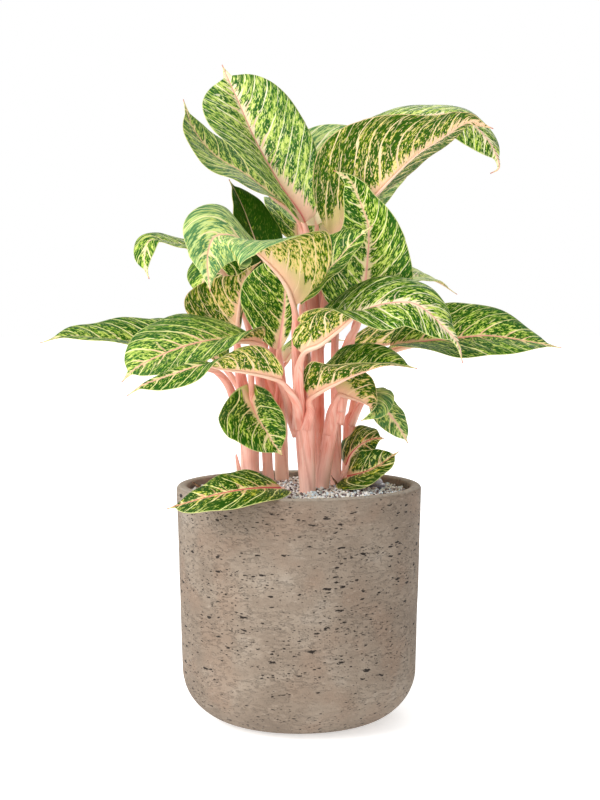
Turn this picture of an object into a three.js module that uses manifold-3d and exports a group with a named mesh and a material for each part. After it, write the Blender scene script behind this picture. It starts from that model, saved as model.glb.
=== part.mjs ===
// A potted Chinese evergreen (aglaonema) in a round stone-look pot.
// Millimetres, +Z up. The origin is the centre of the pot's flat underside, and the front looks along -Y.
import * as THREE from "three";
import { mergeVertices } from "three/addons/utils/BufferGeometryUtils.js";
import Module from "manifold-3d";

const wasm = await Module();
wasm.setup();

// ---- Driving dimensions ----
const GAP = 0.3; // clearance between pieces that touch

const POT = {
  height: 268,
  topRadius: 140,
  bottomRadius: 132.6,
  footRadius: 74, // the flat that it stands on
  wall: 13,
  floor: 16,
  rimRound: 5,
  rimSteps: 3, // facets along each half of the rounded rim
  steps: 6, // facets along the rounded bottom edge
  sides: 36,
};
// mound: how much higher the middle is than the edge; relief: the granules' unevenness
const SOIL = { top: 258, mound: 2.5, relief: 1.4, rings: 5, edgeFade: 8 };
const GAUGE = { x: 89, y: 19, capRadius: 11, capHeight: 10, tubeRadius: 6, tubeBottom: 60 };
const GAUGE_FACETS = { dome: 3, sides: 12 };
const PIN = { radius: 1.4, height: 7, sunk: 3, taper: 0.6, sides: 6 };
const ROOT_DEPTH = 70; // how far each cane goes down into the soil
const CANE_SIDES = 9;
// A cane's rounded top: how far below the end, and how wide, in top radii; the last step is in mm.
const CANE_TOP = { shoulder: 2.2, bend: [0.8, 0.8], cap: 0.4, capDrop: 1 };
const CURVE_TENSION = 0.5; // of every curve through the points of a leaf
const BLADE = {
  rows: 10,
  columns: [-1, -0.5, 0, 0.5, 1], // places across, from the left margin over the rib to the right one
  marginThick: 0.9,
  ribThick: 2.6,
  ribTaper: 0.6, // the share of the rib's thickness that is lost by the tip
  tipSlim: 0.06, // width of the thin drip tip as a share of the blade's
  leastHalf: 0.6,
  lobeFade: 8, // how fast the base's backward lobes end along the rib
  divisions: 400, // steps along the spine that find where the blade starts
};
// radii: a petiole's at its root and at the blade; inBlade: how far it runs into the blade
const STALK = { radii: [4.6, 3.6], sides: 6, inBlade: 7 };
const STUBS = [
  { name: "stub_left", foot: [-69, 75], top: [-75, 76, 294], radii: [4.6, 1.4] },
  { name: "stub_centre", foot: [24, 36], top: [23, 35, 325], radii: [3.4, 3.2] },
];
const TWIG = { from: [-101, -2, 254], to: [-121.5, 0, 269.5], radius: 1.1, taper: 0.7, sides: 6 };
const SHEATH = { path: [[48, 20, 252], [43, 18, 267], [37, 19, 275]], radii: [2.2, 0.8] };

// ---- Canes: foot on the soil's level, top, and the radius at each ----
const CANES = [
  { name: "cane_front", foot: [10, -26], top: [5, -30, 362], radii: [9.5, 12] },
  { name: "cane_right", foot: [25, 10], top: [41, 5, 362], radii: [8.5, 8.5] },
  { name: "cane_right_back", foot: [43, 37], top: [42, 35, 354], radii: [7.5, 7] },
  { name: "cane_far_right", foot: [57, 64], top: [60, 62, 345], radii: [7.5, 7.5] },
  { name: "cane_tall", foot: [21, 62], top: [22, 54, 470], radii: [9.5, 8] },
  { name: "cane_back", foot: [-20, 85], top: [-24, 86, 372], radii: [9, 9] },
  { name: "cane_left", foot: [-57, 54], top: [-59, 55, 335], radii: [11.5, 10.5] },
  { name: "cane_left_inner", foot: [-36, 69], top: [-40, 67, 330], radii: [7, 6.5] },
];

// ---- Leaves ----
// petiole: its line from inside the cane up to the blade; rib: the midrib from the blade's base to its tip.
// heading: which way the leaf grows, in degrees from +X seen from above; it sets which half is the right.
// fold lifts both halves towards the upper face, roll lifts the right half and lowers the left one;
// each has its values in degrees, spaced evenly from the base to the tip.
// widest: where along the rib; base: how slowly the base widens; tip: the length of the thin drip tip;
// lobe: how far the base reaches back; shares: how wide the left and right halves are;
// stalk: the petiole's radius at its root and at the blade.
const LEAVES = [
  { name: "leaf_top_left", heading: 100, width: 134, widest: 0.54, shares: [1, 0.92],
    stalk: [6, 4.6],
    petiole: [[18, 52, 460], [12, 42, 515]],
    rib: [[6, 30, 565], [-22, 45, 609], [-50, 60, 660], [-72, 70, 710], [-90, 75, 751]],
    fold: [42, 37, 24, 6], roll: [-22, -23, -14, 4] },
  { name: "leaf_top_left_low", heading: 160, width: 108, shares: [1, 0.7], stalk: [5, 4],
    petiole: [[18, 58, 450], [10, 74, 515]],
    rib: [[0, 85, 571], [-30, 98, 598], [-63, 106, 625], [-101, 110, 649], [-127, 110, 681],
      [-138, 108, 715]],
    fold: [12, 10, 12], roll: [0, 20, 30] },
  { name: "leaf_top_right", heading: 0, width: 136, widest: 0.38, base: 0.72, shares: [1, 1.2],
    stalk: [6.5, 5],
    petiole: [[26, 50, 440], [33, 34, 490], [36, 10, 525]],
    rib: [[41, -10, 545], [80, -27, 589], [111, -33, 621], [133, -37, 640], [156, -40, 654],
      [185, -40, 673], [200, -40, 670], [214, -38, 666]],
    fold: [42, 38, 16, 5], roll: [45, 47, 34, 30] },
  { name: "leaf_top_right_back", heading: 0, width: 108, widest: 0.46, stalk: [5.5, 4],
    petiole: [[42, 38, 340], [41, 44, 400], [43, 52, 470], [46, 58, 530]],
    rib: [[52, 60, 565], [76, 50, 628], [113, 42, 676], [150, 36, 688], [183, 30, 687],
      [206, 26, 670], [222, 22, 648], [228, 20, 628], [218, 20, 621]],
    fold: [50, 30, 8, -12, -16], roll: [-40, -32, -6, -20, -24] },
  { name: "leaf_top_back", heading: 30, width: 104, stalk: [5, 4],
    petiole: [[25, 58, 448], [24, 90, 510]],
    rib: [[20, 124, 566], [18, 132, 606], [34, 138, 641], [74, 140, 651], [116, 138, 636]],
    fold: [10, 5, 0], roll: [-40, -45, -40] },
  { name: "leaf_upright_right", heading: 90, width: 110, widest: 0.28, stalk: [6, 4.6],
    petiole: [[44, 2, 350], [45, 0, 395], [56, -6, 430]],
    rib: [[69, -12, 458], [76, -26, 519], [77, -33, 558], [67, -41, 587], [56, -48, 609],
      [38, -56, 619]],
    fold: [15, 22, 25], roll: [-5, 0, 5] },
  { name: "leaf_centre_left", heading: 190, width: 128, widest: 0.42, base: 0.9,
    shares: [1.3, 0.95], stalk: [6.5, 5],
    petiole: [[2, -24, 352], [-2, -38, 400], [-3, -60, 440]],
    rib: [[-4, -70, 472], [-14, -82, 497], [-38, -98, 523], [-66, -111, 544], [-88, -120, 545],
      [-96, -129, 526], [-95, -136, 502], [-93, -138, 487]],
    fold: [34, 34, 10, 6, -5], roll: [-44, -32, -4, 48, 55] },
  { name: "leaf_centre_right", heading: 0, width: 84, stalk: [5, 4],
    petiole: [[8, -24, 352], [9, -26, 410], [6, -36, 445]],
    rib: [[2, -44, 475], [22, -54, 498], [42, -62, 520], [60, -68, 541], [79, -72, 558]],
    fold: [28, 22, 0], roll: [-30, -25, -25] },
  { name: "leaf_right_front", heading: -20, width: 104, tip: 0.12, stalk: [7, 5],
    petiole: [[0, -36, 345], [-1, -54, 380]],
    rib: [[3, -75, 420], [22, -86, 431], [40, -96, 445], [60, -106, 461], [88, -118, 473],
      [118, -128, 475], [136, -132, 465], [152, -135, 449], [166, -138, 434], [172, -138, 412]],
    fold: [62, 40, 3, -4, -7], roll: [17, 2, -25, -22, -17] },
  { name: "leaf_right", heading: -5, width: 100, stalk: [6, 4.5],
    petiole: [[45, 7, 335], [55, 12, 380], [76, 6, 408]],
    rib: [[103, -5, 421], [137, -15, 429], [175, -22, 434], [213, -28, 437], [255, -32, 431],
      [293, -35, 424]],
    fold: [35, 12, 5], roll: [-20, -36, -16] },
  { name: "leaf_right_back", heading: 20, width: 82,
    petiole: [[44, 38, 335], [52, 58, 375], [62, 80, 425]],
    rib: [[72, 95, 464], [102, 110, 491], [134, 125, 503], [165, 135, 499], [193, 140, 483]],
    fold: [12, 12, 0], roll: [-16, -22, -8] },
  { name: "leaf_upright_left", heading: -90, width: 128, widest: 0.5, tip: 0.28, base: 0.7,
    shares: [0.4, 1], stalk: [7, 5.5],
    petiole: [[-57, 58, 322], [-64, 60, 362], [-70, 52, 400]],
    rib: [[-72, 40, 434], [-69, 30, 471], [-63, 20, 495], [-54, 12, 511], [-43, 5, 521]],
    fold: [35, 32, 20], roll: [-40, -42, -40] },
  { name: "leaf_inner_left", heading: 90, width: 102, widest: 0.58, base: 0.7, shares: [1, 0.3],
    stalk: [5.5, 4.5],
    petiole: [[-22, 80, 350], [-21, 60, 378], [-22, 38, 402]],
    rib: [[-23, 20, 420], [-19, 10, 450], [-16, -1, 476], [-16, -10, 506], [-20, -16, 536]],
    fold: [10, 10, 10], roll: [8, 8, 8] },
  { name: "leaf_left_high", heading: 180, width: 64, stalk: [4.5, 3.6],
    petiole: [[-42, 72, 318], [-50, 76, 400], [-66, 66, 465]],
    rib: [[-91, 40, 514], [-121, 20, 534], [-147, 8, 542], [-168, 0, 544], [-174, -6, 527],
      [-172, -8, 511], [-169, -8, 501]],
    fold: [12, 6, 5], roll: [-5, -8, -5] },
  { name: "leaf_left_inner_back", heading: 180, width: 96, shares: [0.75, 1],
    petiole: [[-29, 88, 360], [-42, 98, 405], [-50, 104, 440]],
    rib: [[-54, 105, 465], [-71, 101, 495], [-92, 97, 507], [-112, 93, 501], [-122, 89, 477]],
    fold: [12, 10, 0], roll: [30, 30, 25] },
  { name: "leaf_back_left", heading: 120, width: 74,
    petiole: [[-27, 90, 362], [-32, 97, 430], [-36, 97, 475]],
    rib: [[-38, 95, 506], [-53, 95, 548], [-67, 92, 586], [-83, 88, 619]],
    fold: [20, 15, 10], roll: [-5, -15, -30] },
  { name: "leaf_stalk_back", heading: 20, width: 62,
    petiole: [[-26, 92, 340], [-30, 108, 365], [-24, 117, 390]],
    rib: [[-17, 118, 401], [-5, 125, 416], [15, 130, 424], [37, 132, 427], [57, 132, 427]],
    fold: [10, 8, 8], roll: [-8, -8, -8] },
  { name: "leaf_left", heading: 185, width: 96, stalk: [6, 4.5],
    petiole: [[-60, 52, 316], [-71, 44, 345], [-81, 34, 377], [-94, 26, 394]],
    rib: [[-106, 20, 400], [-148, 10, 417], [-191, 0, 428], [-227, -8, 433], [-262, -14, 436],
      [-292, -18, 429]],
    fold: [37, 18, 8], roll: [27, 16, 8] },
  { name: "leaf_left_front", heading: 200, width: 104, widest: 0.52, shares: [0.9, 1.1],
    stalk: [5.5, 4.5],
    petiole: [[-2, -26, 325], [-9, -21, 345], [-15, -20, 372], [-28, -20, 405]],
    rib: [[-43, -20, 429], [-69, -45, 433], [-96, -65, 433], [-125, -82, 427], [-156, -95, 415],
      [-177, -103, 403], [-190, -108, 390]],
    fold: [40, 8, 5], roll: [-20, 14, 18] },
  { name: "leaf_left_low", heading: 200, width: 76, shares: [0.9, 0.36], stalk: [5.5, 4],
    petiole: [[-2, -32, 335], [-2, -56, 360], [-10, -70, 378]],
    rib: [[-20, -80, 391], [-36, -92, 397], [-59, -109, 402], [-80, -123, 405], [-100, -132, 409],
      [-121, -139, 404], [-142, -143, 397], [-164, -148, 389], [-180, -152, 378]],
    fold: [40, 39, 30, 5, -5, -5], roll: [-40, -39, -20, 15, 25, 15] },
  { name: "leaf_right_low", heading: -20, width: 84, stalk: [7, 4.5],
    petiole: [[8, -34, 335], [12, -40, 352]],
    rib: [[12, -45, 370], [45, -65, 389], [71, -78, 400], [97, -85, 407], [128, -90, 404]],
    fold: [62, 38, 18], roll: [22, -14, -12] },
  { name: "leaf_right_curl", heading: -40, width: 84, widest: 0.32, shares: [1.05, 0.85],
    stalk: [6.5, 4.5],
    petiole: [[34, 5, 325], [38, -3, 352]],
    rib: [[45, -8, 371], [56, -14, 369], [68, -25, 365], [79, -37, 359], [80, -48, 351],
      [68, -57, 344]],
    fold: [42, 55, 65], roll: [33, 20, 5] },
  { name: "leaf_right_hanging", heading: -20, width: 36,
    petiole: [[61, 60, 330], [74, 52, 358]],
    rib: [[88, 40, 366], [99, 28, 352], [110, 20, 338], [119, 14, 324], [125, 10, 313]],
    fold: [-15, -15, -10], roll: [-40, -40, -25] },
  { name: "leaf_heart", heading: -80, width: 92, lobe: 28, shares: [0.72, 1],
    petiole: [[-40, 58, 318], [-44, 46, 375], [-50, 22, 408], [-54, 4, 396], [-54, -3, 375]],
    rib: [[-53, -5, 360], [-46, -28, 345], [-36, -44, 331], [-27, -54, 317], [-18, -60, 306]],
    fold: [32, 30, 15], roll: [-30, -30, -10] },
  { name: "leaf_over_rim", heading: 190, width: 62,
    petiole: [[-56, 48, 268], [-44, 0, 267], [-22, -52, 268]],
    rib: [[-19, -90, 273], [-40, -118, 277], [-63, -134, 277], [-90, -138, 272], [-116, -132, 264],
      [-141, -118, 255]],
    fold: [18, 3, 2], roll: [14, 17, 14] },
  { name: "leaf_base_upper", heading: -10, width: 76, base: 0.6, shares: [1, 1],
    petiole: [[46, 37, 268]],
    rib: [[55, 34, 284], [60, 33, 297], [71, 29, 309], [84, 25, 316], [98, 20, 318]],
    fold: [-16, -18, -8], roll: [-48, -50, -34] },
  { name: "leaf_base_lower", heading: -10, width: 62, widest: 0.5, shares: [0.8, 1],
    petiole: [[56, 62, 268], [54, 50, 268]],
    rib: [[56, 26, 272], [66, 2, 278], [80, -10, 284], [97, -14, 294], [113, -14, 306]],
    fold: [28, 24, 14], roll: [-31, -46, -36] },
  { name: "leaf_rear_left", heading: 110, width: 104,
    petiole: [[-28, 88, 350], [-44, 94, 385], [-40, 116, 428]],
    rib: [[-34, 140, 455], [-42, 175, 486], [-56, 212, 502], [-74, 250, 502], [-90, 282, 486],
      [-96, 300, 470]],
    fold: [20, 14, 5], roll: [0, 0, 0] },
  { name: "leaf_rear_right", heading: 70, width: 100,
    petiole: [[24, 60, 420], [30, 88, 448], [30, 116, 470]],
    rib: [[30, 140, 490], [44, 176, 520], [60, 214, 536], [78, 250, 534], [92, 282, 518],
      [98, 298, 502]],
    fold: [20, 14, 5], roll: [0, 0, 0] },
  { name: "leaf_rear_middle", heading: 95, width: 80,
    petiole: [[20, 60, 430], [6, 98, 480], [2, 128, 518]],
    rib: [[0, 150, 545], [-4, 184, 580], [-9, 220, 596], [-14, 256, 594], [-18, 288, 578]],
    fold: [22, 16, 8], roll: [0, 0, 0] },
  { name: "leaf_rear_top", heading: 10, width: 84,
    petiole: [[22, 58, 435], [14, 96, 492]],
    rib: [[30, 130, 548], [64, 150, 590], [100, 160, 620], [135, 165, 642], [151, 165, 648]],
    fold: [5, 5, 5], roll: [-36, -42, -36] },
  { name: "leaf_rear_right_low", heading: 35, width: 92,
    petiole: [[60, 64, 330], [66, 78, 365], [62, 86, 395]],
    rib: [[60, 92, 414], [86, 100, 421], [121, 116, 425], [162, 145, 430], [193, 175, 424]],
    fold: [35, 35, 22, 5], roll: [25, 25, 18, 5] },
  { name: "leaf_rear_left_low", heading: 145, width: 92,
    petiole: [[-38, 70, 316], [-58, 80, 348], [-75, 88, 377], [-87, 100, 392]],
    rib: [[-96, 112, 400], [-128, 136, 426], [-166, 162, 441], [-204, 184, 445], [-236, 202, 434]],
    fold: [18, 12, 5], roll: [0, 5, 0] },
];

// ---- Solids ----
// A closed geometry as a solid: only its positions are kept, so that shared vertices merge.
function solidOf(geometry) {
  const bare = geometry.clone();
  bare.deleteAttribute("normal");
  bare.deleteAttribute("uv");
  const merged = mergeVertices(bare, 1e-3);
  return new wasm.Manifold(
    new wasm.Mesh({
      numProp: 3,
      vertProperties: new Float32Array(merged.attributes.position.array),
      triVerts: new Uint32Array(merged.index.array),
    }),
  );
}

function geometryOf(solid) {
  const mesh = solid.getMesh();
  const geometry = new THREE.BufferGeometry();
  geometry.setAttribute("position", new THREE.BufferAttribute(mesh.vertProperties, 3));
  geometry.setIndex(new THREE.BufferAttribute(mesh.triVerts, 1));
  geometry.computeVertexNormals();
  return geometry;
}

// The largest of the bodies that a cut leaves.
function mainBody(solid) {
  const bodies = solid.decompose();
  return bodies.reduce((best, body) => (body.volume() > best.volume() ? body : best));
}

const plant = new THREE.Group();

function addPiece(name, geometry, material) {
  const mesh = new THREE.Mesh(geometry, material);
  mesh.name = name;
  plant.add(mesh);
}

// ---- Materials ----
const stoneware = new THREE.MeshStandardMaterial({ color: 0xa5937f, roughness: 0.85, metalness: 0 });
const granules = new THREE.MeshStandardMaterial({ color: 0xb9b2a8, roughness: 0.9, metalness: 0 });
const clearCap = new THREE.MeshStandardMaterial({ color: 0x9a94a6, roughness: 0.25, metalness: 0 });
const pinRed = new THREE.MeshStandardMaterial({ color: 0xd8502a, roughness: 0.4, metalness: 0 });
const caneSkin = new THREE.MeshStandardMaterial({ color: 0xd68a78, roughness: 0.5, metalness: 0 });
const leafSkin = new THREE.MeshStandardMaterial({ color: 0x4f8a2c, roughness: 0.4, metalness: 0 });
const drySheath = new THREE.MeshStandardMaterial({ color: 0x7a5236, roughness: 0.9, metalness: 0 });

// ---- Pot ----
// The radius of the pot's outside at a height, and of its inside.
const outerRadius = (z) =>
  POT.bottomRadius + ((POT.topRadius - POT.bottomRadius) * z) / POT.height;
const innerRadius = (z) => outerRadius(z) - POT.wall;

// A quarter ellipse from the flat foot at radius `flat` and height `low` up to the wall.
function bottomCurve(flat, low, high, wallRadius, steps) {
  const points = [];
  for (let i = 0; i <= steps; i++) {
    const angle = (Math.PI / 2) * (i / steps);
    const x = flat + (wallRadius - flat) * Math.sin(angle);
    points.push(new THREE.Vector2(x, low + (high - low) * (1 - Math.cos(angle))));
  }
  return points;
}

function potGeometry() {
  const { height, footRadius, floor, rimRound, wall } = POT;
  const fillet = POT.bottomRadius - footRadius;
  const profile = [new THREE.Vector2(0, 0)];
  profile.push(...bottomCurve(footRadius, 0, fillet, outerRadius(fillet), POT.steps));
  const rimLow = height - rimRound;
  const rimOut = outerRadius(rimLow) - rimRound;
  const rimIn = outerRadius(rimLow) - wall + rimRound;
  for (const [centre, from] of [[rimOut, 0], [rimIn, Math.PI / 2]]) {
    for (let i = 0; i <= POT.rimSteps; i++) {
      const angle = from + (Math.PI / 2) * (i / POT.rimSteps);
      const x = centre + rimRound * Math.cos(angle);
      profile.push(new THREE.Vector2(x, rimLow + rimRound * Math.sin(angle)));
    }
  }
  const high = fillet + floor;
  const inside = bottomCurve(footRadius - wall, floor, high, innerRadius(high), POT.steps);
  profile.push(...inside.reverse(), new THREE.Vector2(0, floor));
  return new THREE.LatheGeometry(profile, POT.sides).rotateX(Math.PI / 2);
}
addPiece("pot", potGeometry(), stoneware);

// ---- Canes ----
// A cane is a tapered round stalk from its root up to a rounded top, turned to lean from foot to top.
function caneGeometry(cane, grow = 0) {
  const foot = new THREE.Vector3(cane.foot[0], cane.foot[1], SOIL.top);
  const lean = new THREE.Vector3(...cane.top).sub(foot);
  const length = lean.length();
  const [low, high] = cane.radii.map((radius) => radius + grow);
  const profile = [
    new THREE.Vector2(0, -ROOT_DEPTH - grow),
    new THREE.Vector2(low, -ROOT_DEPTH - grow),
    new THREE.Vector2(low, 0),
    new THREE.Vector2((low + high) / 2, length / 2),
    new THREE.Vector2(high, length - CANE_TOP.shoulder * high),
    new THREE.Vector2(high * CANE_TOP.bend[0], length - CANE_TOP.bend[1] * high),
    new THREE.Vector2(high * CANE_TOP.cap, length - CANE_TOP.capDrop + grow),
    new THREE.Vector2(0, length + grow),
  ];
  const up = new THREE.Vector3(0, 0, 1);
  const turn = new THREE.Quaternion().setFromUnitVectors(up, lean.normalize());
  return new THREE.LatheGeometry(profile, CANE_SIDES)
    .rotateX(Math.PI / 2)
    .applyQuaternion(turn)
    .translate(foot.x, foot.y, foot.z);
}
const caneRoom = CANES.map((cane) => solidOf(caneGeometry(cane, GAP)));
for (const cane of CANES) addPiece(cane.name, caneGeometry(cane), caneSkin);

// ---- Leaves ----
const curveThrough = (points) =>
  new THREE.CatmullRomCurve3(points, false, "catmullrom", CURVE_TENSION);

// The value at s of a smooth line through values that are spaced evenly from the base to the tip.
function along(values, s) {
  return curveThrough(values.map((value) => new THREE.Vector3(value, 0, 0))).getPoint(s).x;
}

// Half the blade's width at s along the rib: a rounded body that ends before the tip, and a thin tip.
function halfWidth(leaf, s) {
  const { width, widest = 0.42, base = 0.5, tip = 0.08 } = leaf;
  const t = Math.min(s / (1 - tip), 1);
  const body = (t / widest) ** base * ((1 - t) / (1 - widest)) ** ((base * (1 - widest)) / widest);
  const slim = BLADE.tipSlim * Math.sqrt(1 - s);
  return Math.max((width / 2) * Math.hypot(body, slim), BLADE.leastHalf);
}

// The blade is a thin closed shell over a grid: rows along the rib and columns across.
function bladeGeometry(leaf, spine) {
  const start = leaf.petiole.length / (leaf.petiole.length + leaf.rib.length - 1);
  const lengths = spine.getLengths(BLADE.divisions);
  const from = lengths[Math.round(start * BLADE.divisions)] / lengths.at(-1);
  const heading = THREE.MathUtils.degToRad(leaf.heading);
  const across = new THREE.Vector3(Math.sin(heading), -Math.cos(heading), 0);
  const upper = [];
  const lower = [];
  for (let row = 0; row <= BLADE.rows; row++) {
    const s = row / BLADE.rows;
    const centre = spine.getPointAt(from + (1 - from) * s);
    const tangent = spine.getTangentAt(from + (1 - from) * s);
    across.addScaledVector(tangent, -across.dot(tangent)).normalize();
    const face = new THREE.Vector3().crossVectors(across, tangent);
    const half = halfWidth(leaf, s);
    const fold = along(leaf.fold, s);
    const roll = along(leaf.roll, s);
    for (const column of BLADE.columns) {
      const side = Math.sign(column);
      const share = (leaf.shares ?? [1, 1])[column > 0 ? 1 : 0];
      const reach = Math.abs(column) * half * share;
      const angle = THREE.MathUtils.degToRad(fold + side * roll);
      const back = -(leaf.lobe ?? 0) * column ** 2 * Math.exp(-BLADE.lobeFade * s);
      const point = centre.clone();
      point.addScaledVector(across, side * reach * Math.cos(angle));
      point.addScaledVector(face, reach * Math.sin(angle));
      point.addScaledVector(tangent, back);
      const normal = face.clone().multiplyScalar(Math.cos(angle));
      normal.addScaledVector(across, -side * Math.sin(angle));
      const rib = BLADE.ribThick * (1 - BLADE.ribTaper * s);
      const thick = column === 0 ? Math.max(rib, BLADE.marginThick) : BLADE.marginThick;
      upper.push(point.clone().addScaledVector(normal, BLADE.marginThick / 2));
      lower.push(point.clone().addScaledVector(normal, BLADE.marginThick / 2 - thick));
    }
  }
  return shellGeometry(upper, lower, BLADE.columns.length);
}

// Closes two grids of points, split into triangles alike, into one shell.
function shellGeometry(upper, lower, columns) {
  const rows = upper.length / columns;
  const below = upper.length;
  const faces = [];
  const quad = (a, b, c, d) => faces.push(a, b, c, a, c, d);
  for (let row = 0; row < rows - 1; row++) {
    for (let column = 0; column < columns - 1; column++) {
      const a = row * columns + column;
      const [b, c, d] = [a + 1, a + columns + 1, a + columns];
      quad(a, b, c, d);
      faces.push(below + a, below + c, below + b, below + a, below + d, below + c);
    }
  }
  const rim = [];
  for (let column = 0; column < columns; column++) rim.push(column);
  for (let row = 1; row < rows; row++) rim.push((row + 1) * columns - 1);
  for (let column = columns - 2; column >= 0; column--) rim.push((rows - 1) * columns + column);
  for (let row = rows - 2; row > 0; row--) rim.push(row * columns);
  rim.forEach((a, i) => {
    const b = rim[(i + 1) % rim.length];
    quad(a, below + a, below + b, b);
  });
  const geometry = new THREE.BufferGeometry().setFromPoints([...upper, ...lower]);
  geometry.setIndex(faces);
  return geometry;
}

// A petiole is a round stalk along a curve that thins from its root to the blade.
function stalkGeometry(leaf, grow = 0) {
  const points = [...leaf.petiole, ...leaf.rib.slice(0, 2)].map((p) => new THREE.Vector3(...p));
  const curve = curveThrough(points);
  const total = curve.getLength();
  const blade = points.at(-1).distanceTo(points.at(-2));
  const end = Math.min(1, (total - blade + STALK.inBlade + grow) / total);
  const steps = leaf.petiole.length + 3;
  const frames = curve.computeFrenetFrames(steps, false);
  const [thick, thin] = leaf.stalk ?? STALK.radii;
  const rings = [];
  for (let step = 0; step <= steps; step++) {
    const centre = curve.getPointAt((end * step) / steps);
    const radius = thick + ((thin - thick) * step) / steps + grow;
    for (let side = 0; side < STALK.sides; side++) {
      const angle = (2 * Math.PI * side) / STALK.sides;
      const point = centre.clone();
      point.addScaledVector(frames.normals[step], radius * Math.cos(angle));
      point.addScaledVector(frames.binormals[step], radius * Math.sin(angle));
      rings.push(point);
    }
  }
  const faces = [];
  for (let step = 0; step < steps; step++) {
    for (let side = 0; side < STALK.sides; side++) {
      const a = step * STALK.sides + side;
      const b = step * STALK.sides + ((side + 1) % STALK.sides);
      faces.push(a, b, b + STALK.sides, a, b + STALK.sides, a + STALK.sides);
    }
  }
  const last = steps * STALK.sides;
  for (let side = 1; side < STALK.sides - 1; side++) {
    faces.push(0, side + 1, side, last, last + side, last + side + 1);
  }
  const geometry = new THREE.BufferGeometry().setFromPoints(rings);
  geometry.setIndex(faces);
  return geometry;
}

// A petiole stops short of the canes and of the petioles made before it.
const stalkRoom = [];
function leafSolid(leaf) {
  const points = [...leaf.petiole, ...leaf.rib].map((point) => new THREE.Vector3(...point));
  const blade = solidOf(bladeGeometry(leaf, curveThrough(points)));
  let stalk = solidOf(stalkGeometry(leaf));
  for (const room of stalkRoom) stalk = stalk.subtract(room);
  stalkRoom.push(solidOf(stalkGeometry(leaf, GAP)));
  let whole = blade.add(mainBody(stalk));
  for (const room of caneRoom) whole = whole.subtract(room);
  return mainBody(whole);
}
for (const leaf of LEAVES) addPiece(leaf.name, geometryOf(leafSolid(leaf)), leafSkin);

// ---- Water gauge ----
const capBase = SOIL.top + SOIL.mound + SOIL.relief + GAP;

function gaugeGeometry(grow = 0) {
  const { capRadius, capHeight, tubeRadius, tubeBottom } = GAUGE;
  const profile = [
    new THREE.Vector2(0, tubeBottom - grow),
    new THREE.Vector2(tubeRadius + grow, tubeBottom - grow),
    new THREE.Vector2(tubeRadius + grow, capBase),
    new THREE.Vector2(capRadius + grow, capBase),
  ];
  for (let i = 1; i < GAUGE_FACETS.dome; i++) {
    const angle = (Math.PI / 2) * (i / GAUGE_FACETS.dome);
    const x = (capRadius + grow) * Math.cos(angle);
    profile.push(new THREE.Vector2(x, capBase + capHeight * Math.sin(angle)));
  }
  profile.push(new THREE.Vector2(0, capBase + capHeight));
  return new THREE.LatheGeometry(profile, GAUGE_FACETS.sides)
    .rotateX(Math.PI / 2)
    .translate(GAUGE.x, GAUGE.y, 0);
}

function pinGeometry(grow = 0) {
  const length = PIN.height + PIN.sunk;
  const top = PIN.radius * PIN.taper + grow;
  return new THREE.CylinderGeometry(top, PIN.radius + grow, length, PIN.sides)
    .rotateX(Math.PI / 2)
    .translate(GAUGE.x, GAUGE.y, capBase + GAUGE.capHeight - PIN.sunk + length / 2);
}
const pinSocket = solidOf(pinGeometry(GAP).translate(0, 0, -GAP));
const gauge = solidOf(gaugeGeometry()).subtract(pinSocket);
addPiece("water_gauge", geometryOf(gauge), clearCap);
addPiece("gauge_pin", pinGeometry(), pinRed);

// ---- Soil ----
// A fixed rough surface: the same height for the same place each time.
const roughness = (x, y) =>
  SOIL.relief * Math.sin(x * 0.41 + 1.3 * Math.sin(y * 0.23)) * Math.cos(y * 0.37 - x * 0.11);

// The bed fills the pot's inside up to a low mound with a rough surface.
function soilGeometry() {
  const floor = POT.floor + GAP;
  const fillet = POT.bottomRadius - POT.footRadius + POT.floor;
  const edge = innerRadius(SOIL.top) - GAP;
  const profile = [new THREE.Vector2(0, floor)];
  const flat = POT.footRadius - POT.wall;
  profile.push(...bottomCurve(flat - GAP, floor, fillet, innerRadius(fillet) - GAP, POT.steps));
  for (let ring = 0; ring <= SOIL.rings; ring++) {
    profile.push(new THREE.Vector2(edge * (1 - ring / SOIL.rings), SOIL.top));
  }
  const bed = new THREE.LatheGeometry(profile, POT.sides).rotateX(Math.PI / 2);
  const place = bed.attributes.position;
  for (let i = 0; i < place.count; i++) {
    if (place.getZ(i) < SOIL.top - 0.01) continue;
    const [x, y] = [place.getX(i), place.getY(i)];
    const inward = 1 - (Math.hypot(x, y) / edge) ** 2;
    const relief = roughness(x, y) * Math.min(1, inward * SOIL.edgeFade);
    place.setZ(i, SOIL.top + SOIL.mound * inward + relief);
  }
  return bed;
}

// ---- Stubs, dry sheath and twig ----
for (const stub of STUBS) addPiece(stub.name, caneGeometry(stub), caneSkin);

function rodGeometry({ from, to, radius, taper, sides }, grow = 0) {
  const start = new THREE.Vector3(...from);
  const line = new THREE.Vector3(...to).sub(start);
  const turn = new THREE.Quaternion().setFromUnitVectors(
    new THREE.Vector3(0, 1, 0),
    line.clone().normalize(),
  );
  const length = line.length() + 2 * grow;
  return new THREE.CylinderGeometry(radius * taper + grow, radius + grow, length, sides)
    .applyQuaternion(turn)
    .translate(...start.addScaledVector(line, 0.5).toArray());
}
addPiece("dry_twig", rodGeometry(TWIG), drySheath);
const sheath = {
  petiole: SHEATH.path.slice(0, 1),
  rib: SHEATH.path.slice(1),
  stalk: SHEATH.radii,
};
addPiece("dry_sheath", stalkGeometry(sheath), drySheath);

// Everything that stands in the bed stands in a plain hole.
let bed = solidOf(soilGeometry());
const holes = [...CANES, ...STUBS].map((cane) => caneGeometry(cane, GAP));
holes.push(gaugeGeometry(GAP), rodGeometry(TWIG, GAP), stalkGeometry(sheath, GAP));
for (const hole of holes) bed = bed.subtract(solidOf(hole));
addPiece("soil", geometryOf(mainBody(bed)), granules);

export default plant;
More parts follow.
